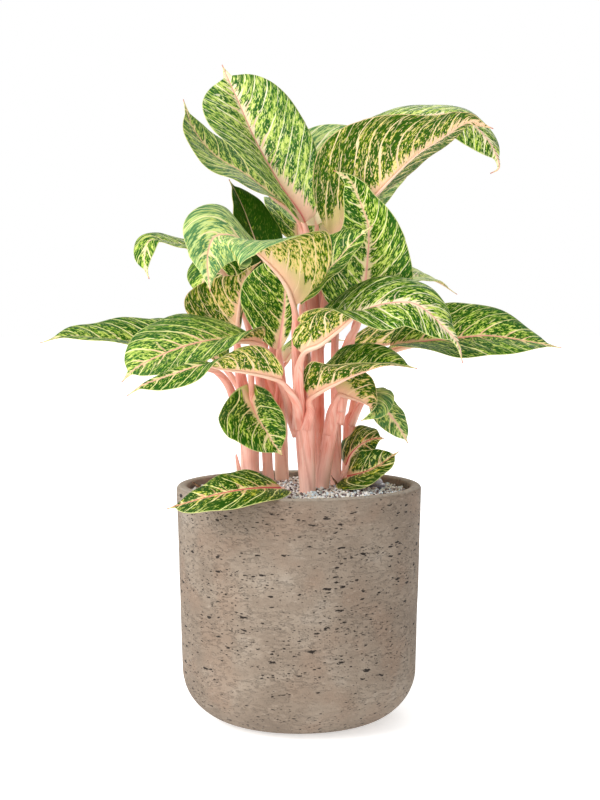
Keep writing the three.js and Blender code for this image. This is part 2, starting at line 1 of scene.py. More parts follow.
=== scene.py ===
"""Looks of the potted Chinese evergreen in its round stone-look pot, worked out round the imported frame.

Sizes are millimetres until a mesh is filled, where MM turns them into the frame's metres.
A leaf is a folded blade with a stalk that runs on under it as the midrib. Its line, width, fold and roll
are the same named values as in the part's source.
"""

import bpy
import numpy as np
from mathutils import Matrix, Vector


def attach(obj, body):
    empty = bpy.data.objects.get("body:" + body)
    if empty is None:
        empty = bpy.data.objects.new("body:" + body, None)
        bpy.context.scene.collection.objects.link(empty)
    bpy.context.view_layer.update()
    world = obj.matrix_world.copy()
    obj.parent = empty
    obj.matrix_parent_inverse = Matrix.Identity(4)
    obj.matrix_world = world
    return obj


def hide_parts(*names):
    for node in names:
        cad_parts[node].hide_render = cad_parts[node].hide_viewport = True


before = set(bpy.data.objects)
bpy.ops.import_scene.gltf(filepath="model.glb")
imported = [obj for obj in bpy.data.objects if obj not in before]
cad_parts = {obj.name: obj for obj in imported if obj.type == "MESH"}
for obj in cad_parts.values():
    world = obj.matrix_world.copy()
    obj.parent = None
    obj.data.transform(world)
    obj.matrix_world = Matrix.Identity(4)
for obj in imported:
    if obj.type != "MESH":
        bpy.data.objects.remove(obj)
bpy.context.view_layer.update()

MM = 0.001
TENSION = 0.5  # of every curve through given points
TURN = 2 * np.pi
BODY = "root"

# ---- Sizes shared with the part's source ----
POT_HEIGHT = 268
POT_TOP = 140
POT_BOTTOM = 132.6
POT_FOOT = 74
POT_WALL = 13
POT_FLOOR = 16
RIM_ROUND = 5
SOIL_TOP = 258
SOIL_MOUND = 2.5
SOIL_RELIEF = 1.4
SOIL_GAP = 0.3
GAUGE_AT = (89, 19)
GAUGE_RADIUS = 11
GAUGE_HEIGHT = 10
CAP_BASE = SOIL_TOP + SOIL_MOUND + SOIL_RELIEF + SOIL_GAP
TIP_DRAWN = 0.1  # share of the blade before the thin tip over which the outline is drawn out to it
TIP_WIDTH = 0.27  # of the drawn-out tip where it starts, as a share of the blade's width
LEAST_HALF = 0.6
LOBE_FADE = 8
BLADE_THICK = 0.9

# A cane's name, foot and top, its radius at both, and its tone, how pale its foot is and how pale the rest,
# where that differs from the plain one.
PLAIN_CANE = (0.3, 0.0)
CANES = [
    ("cane_front", [10, -26], [5, -30, 362], [9.5, 12]),
    ("cane_right", [25, 10], [41, 5, 362], [8.5, 8.5]),
    ("cane_right_back", [43, 37], [42, 35, 354], [7.5, 7]),
    ("cane_far_right", [57, 64], [60, 62, 345], [7.5, 7.5]),
    ("cane_tall", [21, 62], [22, 54, 470], [9.5, 8]),
    ("cane_back", [-20, 85], [-24, 86, 372], [9, 9], (1.0, 0.55)),
    ("cane_left", [-57, 54], [-59, 55, 335], [11.5, 10.5]),
    ("cane_left_inner", [-36, 69], [-40, 67, 330], [7, 6.5], (0.5, 0.1)),
    ("stub_left", [-69, 75], [-75, 76, 294], [4.6, 1.4]),
    ("stub_centre", [24, 36], [23, 35, 325], [3.4, 3.2]),
]

# widest, base, tip, lobe and shares shape a leaf's outline; stalk is its petiole's radius at the root and
# at the blade. tone: cream (how much of it is pale), shade (how dark its greens are; under 0 a painted sheen
# lies on the upper side), blush (0 cream, 0.5 pink, 1 crimson). under_tone is that of an underside that
# differs.
USUAL = dict(widest=0.42, base=0.5, tip=0.08, lobe=0, shares=[1, 1], stalk=[4.6, 3.6], tone=(0.0, 0.0, 0.3))


def grow(name, heading, width, petiole, rib, fold, roll, **values):
    """A leaf's values: the way it grows in degrees from +X seen from above, its width, its line up to the
    blade, its midrib from the blade's base to the tip, what lifts both halves and what lifts the right half
    and lowers the left one, in degrees along the blade; then the usual values, and over them those given."""
    named = dict(name="leaf_" + name, heading=heading, width=width, petiole=petiole, rib=rib)
    return {**USUAL, **named, "fold": fold, "roll": roll, **values}


LEAVES = [
    grow("top_left", 100, 134, [[18, 52, 460], [12, 42, 515]],
      [[6, 30, 565], [-22, 45, 609], [-50, 60, 660], [-72, 70, 710], [-90, 75, 751]],
      [42, 37, 24, 6], [-22, -23, -14, 4], widest=0.54, shares=[1, 0.92], stalk=[6, 4.6],
      tone=(0.35, -0.1, 0.65)),
    grow("top_left_low", 160, 108, [[18, 58, 450], [10, 74, 515]],
      [[0, 85, 571], [-30, 98, 598], [-63, 106, 625], [-101, 110, 649], [-127, 110, 681], [-138, 108, 715]],
      [12, 10, 12], [0, 20, 30], shares=[1, 0.7], stalk=[5, 4], tone=(0.0, -0.2, 0.3)),
    grow("top_right", 0, 136, [[26, 50, 440], [33, 34, 490], [36, 10, 525]],
      [[41, -10, 545], [80, -27, 589], [111, -33, 621], [133, -37, 640], [156, -40, 654], [185, -40, 673],
        [200, -40, 670], [214, -38, 666]],
      [42, 38, 16, 5], [45, 47, 34, 30], widest=0.38, base=0.72, shares=[1, 1.2], stalk=[6.5, 5],
      tone=(0.05, 0.6, 0.5), under_tone=(0.5, 1.0, 0.7)),
    grow("top_right_back", 0, 108, [[42, 38, 340], [41, 44, 400], [43, 52, 470], [46, 58, 530]],
      [[52, 60, 565], [76, 50, 628], [113, 42, 676], [150, 36, 688], [183, 30, 687], [206, 26, 670],
        [222, 22, 648], [228, 20, 628], [218, 20, 621]],
      [50, 30, 8, -12, -16], [-40, -32, -6, -20, -24], widest=0.46, stalk=[5.5, 4], tone=(0.3, 0.0, 0.5)),
    grow("top_back", 30, 104, [[25, 58, 448], [24, 90, 510]],
      [[20, 124, 566], [18, 132, 606], [34, 138, 641], [74, 140, 651], [116, 138, 636]],
      [10, 5, 0], [-40, -45, -40], stalk=[5, 4], tone=(0.3, -0.6, 0.1)),
    grow("upright_right", 90, 110, [[44, 2, 350], [45, 0, 395], [56, -6, 430]],
      [[69, -12, 458], [76, -26, 519], [77, -33, 558], [67, -41, 587], [56, -48, 609], [38, -56, 619]],
      [15, 22, 25], [-5, 0, 5], widest=0.28, stalk=[6, 4.6], tone=(0.1, 0.2, 0.4)),
    grow("centre_left", 190, 128, [[2, -24, 352], [-2, -38, 400], [-3, -60, 440]],
      [[-4, -70, 472], [-14, -82, 497], [-38, -98, 523], [-66, -111, 544], [-88, -120, 545],
        [-96, -129, 526], [-95, -136, 502], [-93, -138, 487]],
      [34, 34, 10, 6, -5], [-44, -32, -4, 48, 55], widest=0.42, base=0.9, shares=[1.3, 0.95],
      stalk=[6.5, 5], tone=(0.0, -0.55, 0.4), under_tone=(0.95, 0.2, 0.5)),
    grow("centre_right", 0, 84, [[8, -24, 352], [9, -26, 410], [6, -36, 445]],
      [[2, -44, 475], [22, -54, 498], [42, -62, 520], [60, -68, 541], [79, -72, 558]],
      [28, 22, 0], [-30, -25, -25], stalk=[5, 4], tone=(-0.1, 0.6, 0.3)),
    grow("right_front", -20, 104, [[0, -36, 345], [-1, -54, 380]],
      [[3, -75, 420], [22, -86, 431], [40, -96, 445], [60, -106, 461], [88, -118, 473], [118, -128, 475],
        [136, -132, 465], [152, -135, 449], [166, -138, 434], [172, -138, 412]],
      [62, 40, 3, -4, -7], [17, 2, -25, -22, -17], tip=0.12, stalk=[7, 5], tone=(0.32, 0.3, 0.5),
      under_tone=(0.0, 0.0, 0.4)),
    grow("right", -5, 100, [[45, 7, 335], [55, 12, 380], [76, 6, 408]],
      [[103, -5, 421], [137, -15, 429], [175, -22, 434], [213, -28, 437], [255, -32, 431], [293, -35, 424]],
      [35, 12, 5], [-20, -36, -16], stalk=[6, 4.5], tone=(-0.05, 0.2, 0.7)),
    grow("right_back", 20, 82, [[44, 38, 335], [52, 58, 375], [62, 80, 425]],
      [[72, 95, 464], [102, 110, 491], [134, 125, 503], [165, 135, 499], [193, 140, 483]],
      [12, 12, 0], [-16, -22, -8], tone=(0.9, -0.3, 0.4)),
    grow("upright_left", -90, 128, [[-57, 58, 322], [-64, 60, 362], [-70, 52, 400]],
      [[-72, 40, 434], [-69, 30, 471], [-63, 20, 495], [-54, 12, 511], [-43, 5, 521]],
      [35, 32, 20], [-40, -42, -40], widest=0.5, tip=0.28, base=0.7, shares=[0.4, 1], stalk=[7, 5.5],
      tone=(0.2, 0.0, 0.3)),
    grow("inner_left", 90, 102, [[-22, 80, 350], [-21, 60, 378], [-22, 38, 402]],
      [[-23, 20, 420], [-19, 10, 450], [-16, -1, 476], [-16, -10, 506], [-20, -16, 536]],
      [10, 10, 10], [8, 8, 8], widest=0.58, base=0.7, shares=[1, 0.3], stalk=[5.5, 4.5],
      tone=(0.0, 0.4, 0.4)),
    grow("left_high", 180, 64, [[-42, 72, 318], [-50, 76, 400], [-66, 66, 465]],
      [[-91, 40, 514], [-121, 20, 534], [-147, 8, 542], [-168, 0, 544], [-174, -6, 527], [-172, -8, 511],
        [-169, -8, 501]],
      [12, 6, 5], [-5, -8, -5], stalk=[4.5, 3.6]),
    grow("left_inner_back", 180, 96, [[-29, 88, 360], [-42, 98, 405], [-50, 104, 440]],
      [[-54, 105, 465], [-71, 101, 495], [-92, 97, 507], [-112, 93, 501], [-122, 89, 477]],
      [12, 10, 0], [30, 30, 25], shares=[0.75, 1], tone=(0.0, 0.4, 0.3)),
    grow("back_left", 120, 74, [[-27, 90, 362], [-32, 97, 430], [-36, 97, 475]],
      [[-38, 95, 506], [-53, 95, 548], [-67, 92, 586], [-83, 88, 619]],
      [20, 15, 10], [-5, -15, -30], tone=(-1.0, 0.6, 0.1)),
    grow("stalk_back", 20, 62, [[-26, 92, 340], [-30, 108, 365], [-24, 117, 390]],
      [[-17, 118, 401], [-5, 125, 416], [15, 130, 424], [37, 132, 427], [57, 132, 427]],
      [10, 8, 8], [-8, -8, -8], tone=(0.6, -0.4, 0.3)),
    grow("left", 185, 96, [[-60, 52, 316], [-71, 44, 345], [-81, 34, 377], [-94, 26, 394]],
      [[-106, 20, 400], [-148, 10, 417], [-191, 0, 428], [-227, -8, 433], [-262, -14, 436],
        [-292, -18, 429]],
      [37, 18, 8], [27, 16, 8], stalk=[6, 4.5], tone=(0.0, 0.1, 0.35)),
    grow("left_front", 200, 104, [[-2, -26, 325], [-9, -21, 345], [-15, -20, 372], [-28, -20, 405]],
      [[-43, -20, 429], [-69, -45, 433], [-96, -65, 433], [-125, -82, 427], [-156, -95, 415],
        [-177, -103, 403], [-190, -108, 390]],
      [40, 8, 5], [-20, 14, 18], widest=0.52, shares=[0.9, 1.1], stalk=[5.5, 4.5], tone=(0.0, -0.08, 0.6)),
    grow("left_low", 200, 76, [[-2, -32, 335], [-2, -56, 360], [-10, -70, 378]],
      [[-20, -80, 391], [-36, -92, 397], [-59, -109, 402], [-80, -123, 405], [-100, -132, 409],
        [-121, -139, 404], [-142, -143, 397], [-164, -148, 389], [-180, -152, 378]],
      [40, 39, 30, 5, -5, -5], [-40, -39, -20, 15, 25, 15], shares=[0.9, 0.36], stalk=[5.5, 4],
      tone=(-0.1, 0.8, 0.5), under_tone=(-0.05, -0.3, 0.45)),
    grow("right_low", -20, 84, [[8, -34, 335], [12, -40, 352]],
      [[12, -45, 370], [45, -65, 389], [71, -78, 400], [97, -85, 407], [128, -90, 404]],
      [62, 38, 18], [22, -14, -12], stalk=[7, 4.5], tone=(0.0, 0.4, 0.4)),
    grow("right_curl", -40, 84, [[34, 5, 325], [38, -3, 352]],
      [[45, -8, 371], [56, -14, 369], [68, -25, 365], [79, -37, 359], [80, -48, 351], [68, -57, 344]],
      [42, 55, 65], [33, 20, 5], widest=0.32, shares=[1.05, 0.85], stalk=[6.5, 4.5], tone=(0.0, -0.4, 0.4),
      under_tone=(0.2, 0.0, 0.4)),
    grow("right_hanging", -20, 36, [[61, 60, 330], [74, 52, 358]],
      [[88, 40, 366], [99, 28, 352], [110, 20, 338], [119, 14, 324], [125, 10, 313]],
      [-15, -15, -10], [-40, -40, -25], tone=(0.0, -0.3, 0.3)),
    grow("heart", -80, 92, [[-40, 58, 318], [-44, 46, 375], [-50, 22, 408], [-54, 4, 396], [-54, -3, 375]],
      [[-53, -5, 360], [-46, -28, 345], [-36, -44, 331], [-27, -54, 317], [-18, -60, 306]],
      [32, 30, 15], [-30, -30, -10], lobe=28, shares=[0.72, 1], tone=(0.04, 0.45, 0.4)),
    grow("over_rim", 190, 62, [[-56, 48, 268], [-44, 0, 267], [-22, -52, 268]],
      [[-19, -90, 273], [-40, -118, 277], [-63, -134, 277], [-90, -138, 272], [-116, -132, 264],
        [-141, -118, 255]],
      [18, 3, 2], [14, 17, 14], tone=(-0.05, 0.9, 1.0)),
    grow("base_upper", -10, 76, [[46, 37, 268]],
      [[55, 34, 284], [60, 33, 297], [71, 29, 309], [84, 25, 316], [98, 20, 318]],
      [-16, -18, -8], [-48, -50, -34], base=0.6, shares=[1, 1], tone=(0.05, 0.8, 1.0)),
    grow("base_lower", -10, 62, [[56, 62, 268], [54, 50, 268]],
      [[56, 26, 272], [66, 2, 278], [80, -10, 284], [97, -14, 294], [113, -14, 306]],
      [28, 24, 14], [-31, -46, -36], widest=0.5, shares=[0.8, 1], tone=(0.05, 0.8, 1.0)),
    grow("rear_left", 110, 104, [[-28, 88, 350], [-44, 94, 385], [-40, 116, 428]],
      [[-34, 140, 455], [-42, 175, 486], [-56, 212, 502], [-74, 250, 502], [-90, 282, 486],
        [-96, 300, 470]],
      [20, 14, 5], [0, 0, 0]),
    grow("rear_right", 70, 100, [[24, 60, 420], [30, 88, 448], [30, 116, 470]],
      [[30, 140, 490], [44, 176, 520], [60, 214, 536], [78, 250, 534], [92, 282, 518], [98, 298, 502]],
      [20, 14, 5], [0, 0, 0]),
    grow("rear_middle", 95, 80, [[20, 60, 430], [6, 98, 480], [2, 128, 518]],
      [[0, 150, 545], [-4, 184, 580], [-9, 220, 596], [-14, 256, 594], [-18, 288, 578]],
      [22, 16, 8], [0, 0, 0]),
    grow("rear_top", 10, 84, [[22, 58, 435], [14, 96, 492]],
      [[30, 130, 548], [64, 150, 590], [100, 160, 620], [135, 165, 642], [151, 165, 648]],
      [5, 5, 5], [-36, -42, -36], tone=(0.3, -0.6, 0.1)),
    grow("rear_right_low", 35, 92, [[60, 64, 330], [66, 78, 365], [62, 86, 395]],
      [[60, 92, 414], [86, 100, 421], [121, 116, 425], [162, 145, 430], [193, 175, 424]],
      [35, 35, 22, 5], [25, 25, 18, 5]),
    grow("rear_left_low", 145, 92, [[-38, 70, 316], [-58, 80, 348], [-75, 88, 377], [-87, 100, 392]],
      [[-96, 112, 400], [-128, 136, 426], [-166, 162, 441], [-204, 184, 445], [-236, 202, 434]],
      [18, 12, 5], [0, 5, 0]),
]


# ---- Curves and random values ----
def smooth_line(points, u):
    """The Catmull-Rom curve through points at the shares u of its parameter: each span is the cubic whose end
    slopes are the tension times the chord of the two neighbours. The end points have mirrored neighbours."""
    p = np.asarray(points, float)
    p = p.reshape(len(p), -1)
    p = np.vstack([2 * p[:1] - p[1:2], p, 2 * p[-1:] - p[-2:-1]])
    spans = len(p) - 3
    x = np.clip(u, 0, 1) * spans
    i = np.minimum(x.astype(int), spans - 1)
    w = (x - i)[:, None]
    a, b, c, d = p[i], p[i + 1], p[i + 2], p[i + 3]
    m, n = TENSION * (c - a), TENSION * (d - b)
    return b + m * w + (3 * (c - b) - 2 * m - n) * w**2 + (2 * (b - c) + m + n) * w**3


def ease(x, low, high):
    """0 below low, 1 above high, and 3t^2 - 2t^3 between."""
    t = np.clip((x - low) / (high - low), 0, 1)
    return t * t * (3 - 2 * t)


HASH_FACTORS = np.array([73856093, 19349663, 83492791])
SEED_FACTOR = 2654435761
STIR_FACTOR = 1274126177
LATTICE_START = 1000.5  # in cells, so that no place used here has a negative cell


def lumps(points, size, seed):
    """Smooth random values from -1 to 1 over space: every corner of a lattice with cells of the given size
    has a hashed value, and a point takes the eased blend of the eight corners round it."""
    x = np.asarray(points, float) / size + LATTICE_START
    cell = np.floor(x).astype(np.int64)
    w = ease(x - cell, 0, 1)
    total = np.zeros(x.shape[:-1])
    for corner in np.ndindex(2, 2, 2):
        key = np.bitwise_xor.reduce((cell + corner) * HASH_FACTORS, axis=-1) + seed * SEED_FACTOR
        key = ((key ^ (key >> 13)) * STIR_FACTOR) & 0xFFFFFFFF
        value = ((key ^ (key >> 16)) & 0xFFFF) / 32767.5 - 1
        total += value * np.prod(np.where(corner, w, 1 - w), axis=-1)
    return total


def carried(first, tangents):
    """The direction first carried along the tangents: each step takes out its part along the tangent."""
    rows = []
    for tangent in tangents:
        first = first - (first @ tangent) * tangent
        first = first / np.linalg.norm(first)
        rows.append(first)
    return np.array(rows)


# ---- Meshes ----
def outward(points, faces):
    """The faces, turned round if the closed shell's signed volume is negative."""
    volume = 0.0
    for group in faces:
        for k in range(1, group.shape[1] - 1):
            a, b, c = points[group[:, 0]], points[group[:, k]], points[group[:, k + 1]]
            volume += np.einsum("ij,ij->", a, np.cross(b, c))
    return [group[:, ::-1] for group in faces] if volume < 0 else faces


def grid_faces(rows, columns, closed):
    """The four-cornered faces of a grid; closed joins the last column to the first."""
    i = np.arange(rows - 1)[:, None] * columns
    j = np.arange(columns if closed else columns - 1)[None, :]
    k = (j + 1) % columns
    return np.stack([i + j, i + k, i + columns + k, i + columns + j], -1).reshape(-1, 4)


def loft(rings):
    """A closed shell over rings of points (rings, sides, 3): quads between them, and a fan to the middle of
    the first ring and of the last. Returns points and faces; the two pole points come last."""
    rows, sides = rings.shape[:2]
    points = np.vstack([rings.reshape(-1, 3), rings[0].mean(0), rings[-1].mean(0)])
    j = np.arange(sides)
    k = (j + 1) % sides
    last = (rows - 1) * sides
    low = np.stack([np.full(sides, rows * sides), k, j], -1)
    high = np.stack([np.full(sides, rows * sides + 1), last + j, last + k], -1)
    return points, outward(points, [grid_faces(rows, sides, True), np.vstack([low, high])])


def slab(upper, lower):
    """A closed shell between two grids (rows, columns, 3): both grids, and a strip round their border."""
    rows, columns = upper.shape[:2]
    count = rows * columns
    top = grid_faces(rows, columns, False)
    at = np.arange(count).reshape(rows, columns)
    border = np.concatenate([at[0, :-1], at[:-1, -1], at[-1, :0:-1], at[:0:-1, 0]])
    following = np.roll(border, -1)
    strip = np.stack([border, border + count, following + count, following], -1)
    points = np.concatenate([upper.reshape(-1, 3), lower.reshape(-1, 3)])
    return points, outward(points, [top, top[:, ::-1] + count, strip])


def round_angles(sides):
    """Even angles round a full turn, as one row."""
    return np.linspace(0, TURN, sides, endpoint=False)[None, :]


def grid_about(line, across, face, x, y):
    """Points (rows, columns, 3): from each place of the line, x along across and y along face."""
    return line[:, None] + across[..., None, :] * x[..., None] + face[..., None, :] * y[..., None]


def turned_rings(profile, sides, at=(0, 0)):
    """Rings from a profile of (radius, height), turned about the upright line at a place."""
    theta = round_angles(sides)
    radius, height = profile[:, :1], profile[:, 1:]
    return np.stack([at[0] + radius * np.cos(theta), at[1] + radius * np.sin(theta), height + 0 * theta], -1)


def triples(*grids):
    """Three grids, spread to one shape, as rows of three."""
    return np.stack(np.broadcast_arrays(*grids), -1).reshape(-1, 3)


def skin_marks(along, radius, theta, seed):
    """The vein mark of a lofted stalk or cane: mm along it, mm round it, and its seed."""
    rows = triples(along[:, None], theta * radius[:, None], seed)
    return np.vstack([rows, rows[0], rows[-1]])


class Shell:
    """Points in mm, faces, the number of the finish they wear, and named marks, a value or triple a point."""

    def __init__(self, points, faces, finish=0, **marks):
        self.points = points
        self.faces = faces
        self.finish = finish
        self.marks = marks


def put(name, data):
    """A new object in the scene."""
    made = bpy.data.objects.new(name, data)
    bpy.context.scene.collection.objects.link(made)
    return made


def make_piece(name, shells, finishes, nodes=(), smooth=True):
    """One mesh object from several shells, in the frame's metres. It rides on the body and replaces the
    nodes."""
    points = np.concatenate([shell.points for shell in shells]) * MM
    corners, sizes, worn, first = [], [], [], 0
    for shell in shells:
        for group in shell.faces:
            corners.append((group + first).ravel())
            sizes.append(np.full(len(group), group.shape[1]))
            worn.append(np.full(len(group), shell.finish))
        first += len(shell.points)
    corners, sizes = np.concatenate(corners), np.concatenate(sizes)
    mesh = bpy.data.meshes.new(name)
    mesh.vertices.add(len(points))
    mesh.vertices.foreach_set("co", points.astype(np.float32).ravel())
    mesh.loops.add(len(corners))
    mesh.loops.foreach_set("vertex_index", corners.astype(np.int32))
    mesh.polygons.add(len(sizes))
    starts = np.concatenate([[0], np.cumsum(sizes)[:-1]])
    mesh.polygons.foreach_set("loop_start", starts.astype(np.int32))
    mesh.polygons.foreach_set("material_index", np.concatenate(worn).astype(np.int32))
    mesh.update(calc_edges=True)
    mesh.validate()
    for key in shells[0].marks:
        values = np.concatenate([shell.marks[key] for shell in shells]).astype(np.float32)
        kind, field = ("FLOAT_VECTOR", "vector") if values.ndim > 1 else ("FLOAT", "value")
        mesh.attributes.new(key, kind, "POINT").data.foreach_set(field, values.ravel())
    if smooth:
        mesh.shade_smooth()
    else:
        mesh.shade_flat()
    for finish in finishes:
        mesh.materials.append(finish)
    piece = put(name, mesh)
    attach(piece, BODY)
    if nodes:
        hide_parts(*nodes)
    return piece


# ---- Node work ----
class Value:
    """An output socket in a node tree. The signs + - * / between it and a number or another value add the
    math node for that."""

    def __init__(self, graph, socket):
        self.graph = graph
        self.socket = socket

    def __add__(self, other):
        return self.graph.math("ADD", self, other)

    def __sub__(self, other):
        return self.graph.math("SUBTRACT", self, other)

    def __rsub__(self, other):
        return self.graph.math("SUBTRACT", other, self)

    def __mul__(self, other):
        return self.graph.math("MULTIPLY", self, other)

    def __truediv__(self, other):
        return self.graph.math("DIVIDE", self, other)

    __radd__ = __add__
    __rmul__ = __mul__


class Graph:
    """Short calls that add shader nodes to one tree and join them. What goes in is a number, a triple or a
    value."""

    def __init__(self, tree):
        self.tree = tree

    def feed(self, socket, value):
        if isinstance(value, Value):
            self.tree.links.new(value.socket, socket)
        else:
            socket.default_value = value

    def node(self, kind, inputs=(), **settings):
        node = self.tree.nodes.new(kind)
        for key, value in settings.items():
            setattr(node, key, value)
        for socket, value in dict(inputs).items():
            self.feed(node.inputs[socket], value)
        return node

    def values(self, node):
        return {socket.name: Value(self, socket) for socket in node.outputs}

    def value(self, output, kind, inputs=(), **settings):
        return Value(self, self.node(kind, inputs, **settings).outputs[output])

    def math(self, operation, *inputs):
        return self.value(0, "ShaderNodeMath", dict(enumerate(inputs)), operation=operation)

    def vector(self, operation, *inputs):
        return self.value(0, "ShaderNodeVectorMath", dict(enumerate(inputs)), operation=operation)

    def fade(self, value, low, high, first=0.0, last=1.0):
        """first where value is under low, last where it is over high, and an eased step between."""
        inputs = {"Value": value, "From Min": low, "From Max": high, "To Min": first, "To Max": last}
        return self.value(0, "ShaderNodeMapRange", inputs, interpolation_type="SMOOTHSTEP")

    def drop(self, value, low, high, first=1.0):
        """A fade from first to nothing."""
        return self.fade(value, low, high, first, 0.0)

    def mix(self, factor, a, b, blend="MIX"):
        """a at factor 0, and b or its blend with a at 1; each is a value or a colour as on screen."""
        a, b = (tint(*colour) if isinstance(colour, tuple) else colour for colour in (a, b))
        inputs = {0: factor, 6: a, 7: b}
        return self.value(2, "ShaderNodeMix", inputs, data_type="RGBA", blend_type=blend)

    def ramp(self, value, *stops, steps=False):
        """The colour at value between stops, each a place and a colour as on screen, or in hard steps."""
        node = self.node("ShaderNodeValToRGB", {"Fac": value})
        node.color_ramp.interpolation = "CONSTANT" if steps else "LINEAR"
        elements = node.color_ramp.elements
        for i, (place, *colour) in enumerate(stops):
            stop = elements[i] if i < 2 else elements.new(place)
            stop.position = place
            stop.color = tint(*colour)
        return Value(self, node.outputs["Color"])

    def place(self, x, y, z):
        return self.value(0, "ShaderNodeCombineXYZ", {"X": x, "Y": y, "Z": z})

    def parts(self, vector):
        return list(self.values(self.node("ShaderNodeSeparateXYZ", {"Vector": vector})).values())

    def mark(self, name):
        return self.value("Fac", "ShaderNodeAttribute", attribute_name=name)

    def marks(self, name):
        return self.parts(self.value("Vector", "ShaderNodeAttribute", attribute_name=name))

    def here(self):
        return self.value("Object", "ShaderNodeTexCoord")

    def stretch(self, vector, level, upright):
        return self.vector("MULTIPLY", vector, (level, level, upright))

    def noise(self, vector, scale, detail=2.0, rough=0.5, output="Fac"):
        inputs = {"Vector": vector, "Scale": scale, "Detail": detail, "Roughness": rough}
        return self.value(output, "ShaderNodeTexNoise", inputs)

    def patches(self, along, out, seed, size, detail=2.0, rough=0.5):
        """Noise over two lengths in mm, with patches of the two given sizes."""
        return self.noise(self.place(along / size[0], out / size[1], seed), 1.0, detail, rough)

    def bump(self, height, strength, distance, **more):
        inputs = {"Height": height, "Strength": strength, "Distance": distance, **more}
        return self.value(0, "ShaderNodeBump", inputs)

    def group(self, tree, **inputs):
        return self.values(self.node("ShaderNodeGroup", inputs, node_tree=tree))


class Finish(Graph):
    """A material and the graph of its nodes."""

    def __init__(self, name, **settings):
        self.material = bpy.data.materials.new(name)
        self.material.use_nodes = True
        super().__init__(self.material.node_tree)
        self.wear(**settings)

    def wear(self, **values):
        """Feed the Principled shader's sockets, named with _ for each space. Returns the material."""
        shader = self.tree.nodes["Principled BSDF"]
        for key, value in values.items():
            self.feed(shader.inputs[key.replace("_", " ")], value)
        return self.material


def tint(red, green, blue):
    """A colour given as it looks on screen, 0 to 255, as linear light."""
    c = np.array([red, green, blue]) / 255
    linear = np.where(c <= 0.04045, c / 12.92, ((c + 0.055) / 1.055) ** 2.4)
    return (*[float(v) for v in linear], 1.0)


# ---- Finishes ----
def grain_group():
    """Fine grain for any surface: noise at the given scale as a mask, and that mask as a bumped normal."""
    tree = bpy.data.node_groups.new("fine_grain", "ShaderNodeTree")
    for key, kind in (("Vector", "Vector"), ("Scale", "Float"), ("Depth", "Float")):
        tree.interface.new_socket(key, in_out="INPUT", socket_type="NodeSocket" + kind)
    for key, kind in (("Mask", "Float"), ("Normal", "Vector")):
        tree.interface.new_socket(key, in_out="OUTPUT", socket_type="NodeSocket" + kind)
    g = Graph(tree)
    given = g.values(g.node("NodeGroupInput"))
    mask = g.noise(given["Vector"], given["Scale"], 3.0, 0.6)
    g.node("NodeGroupOutput", {"Mask": mask, "Normal": g.bump(mask, 1.0, given["Depth"])})
    return tree


GRAIN = grain_group()

VEIN_SPACING = 23.0  # mm between lateral veins along the midrib
BRANCH_SPACING = 15.0  # mm between the finer veins that cross between them
BRANCH_LEAN = 0.5  # how fast a finer vein draws away from its lateral vein
UPPER_TISSUE = ((0.38, 206, 220, 108), (0.45, 150, 180, 56), (0.49, 88, 136, 20), (0.55, 33, 84, 0))
UNDER_TISSUE = ((0.38, 240, 212, 138), (0.45, 172, 178, 60), (0.49, 104, 136, 12), (0.55, 42, 84, 0))
BLUSHES = ((0.0, 246, 232, 196), (0.5, 244, 168, 156), (0.8, 236, 138, 134), (1.0, 204, 76, 88))


def off_line(g, lines, spacing):
    """How many mm a point is from the nearest line, where lines counts the spacings across them."""
    return g.math("ABSOLUTE", g.math("FRACT", lines) - 0.5) * spacing


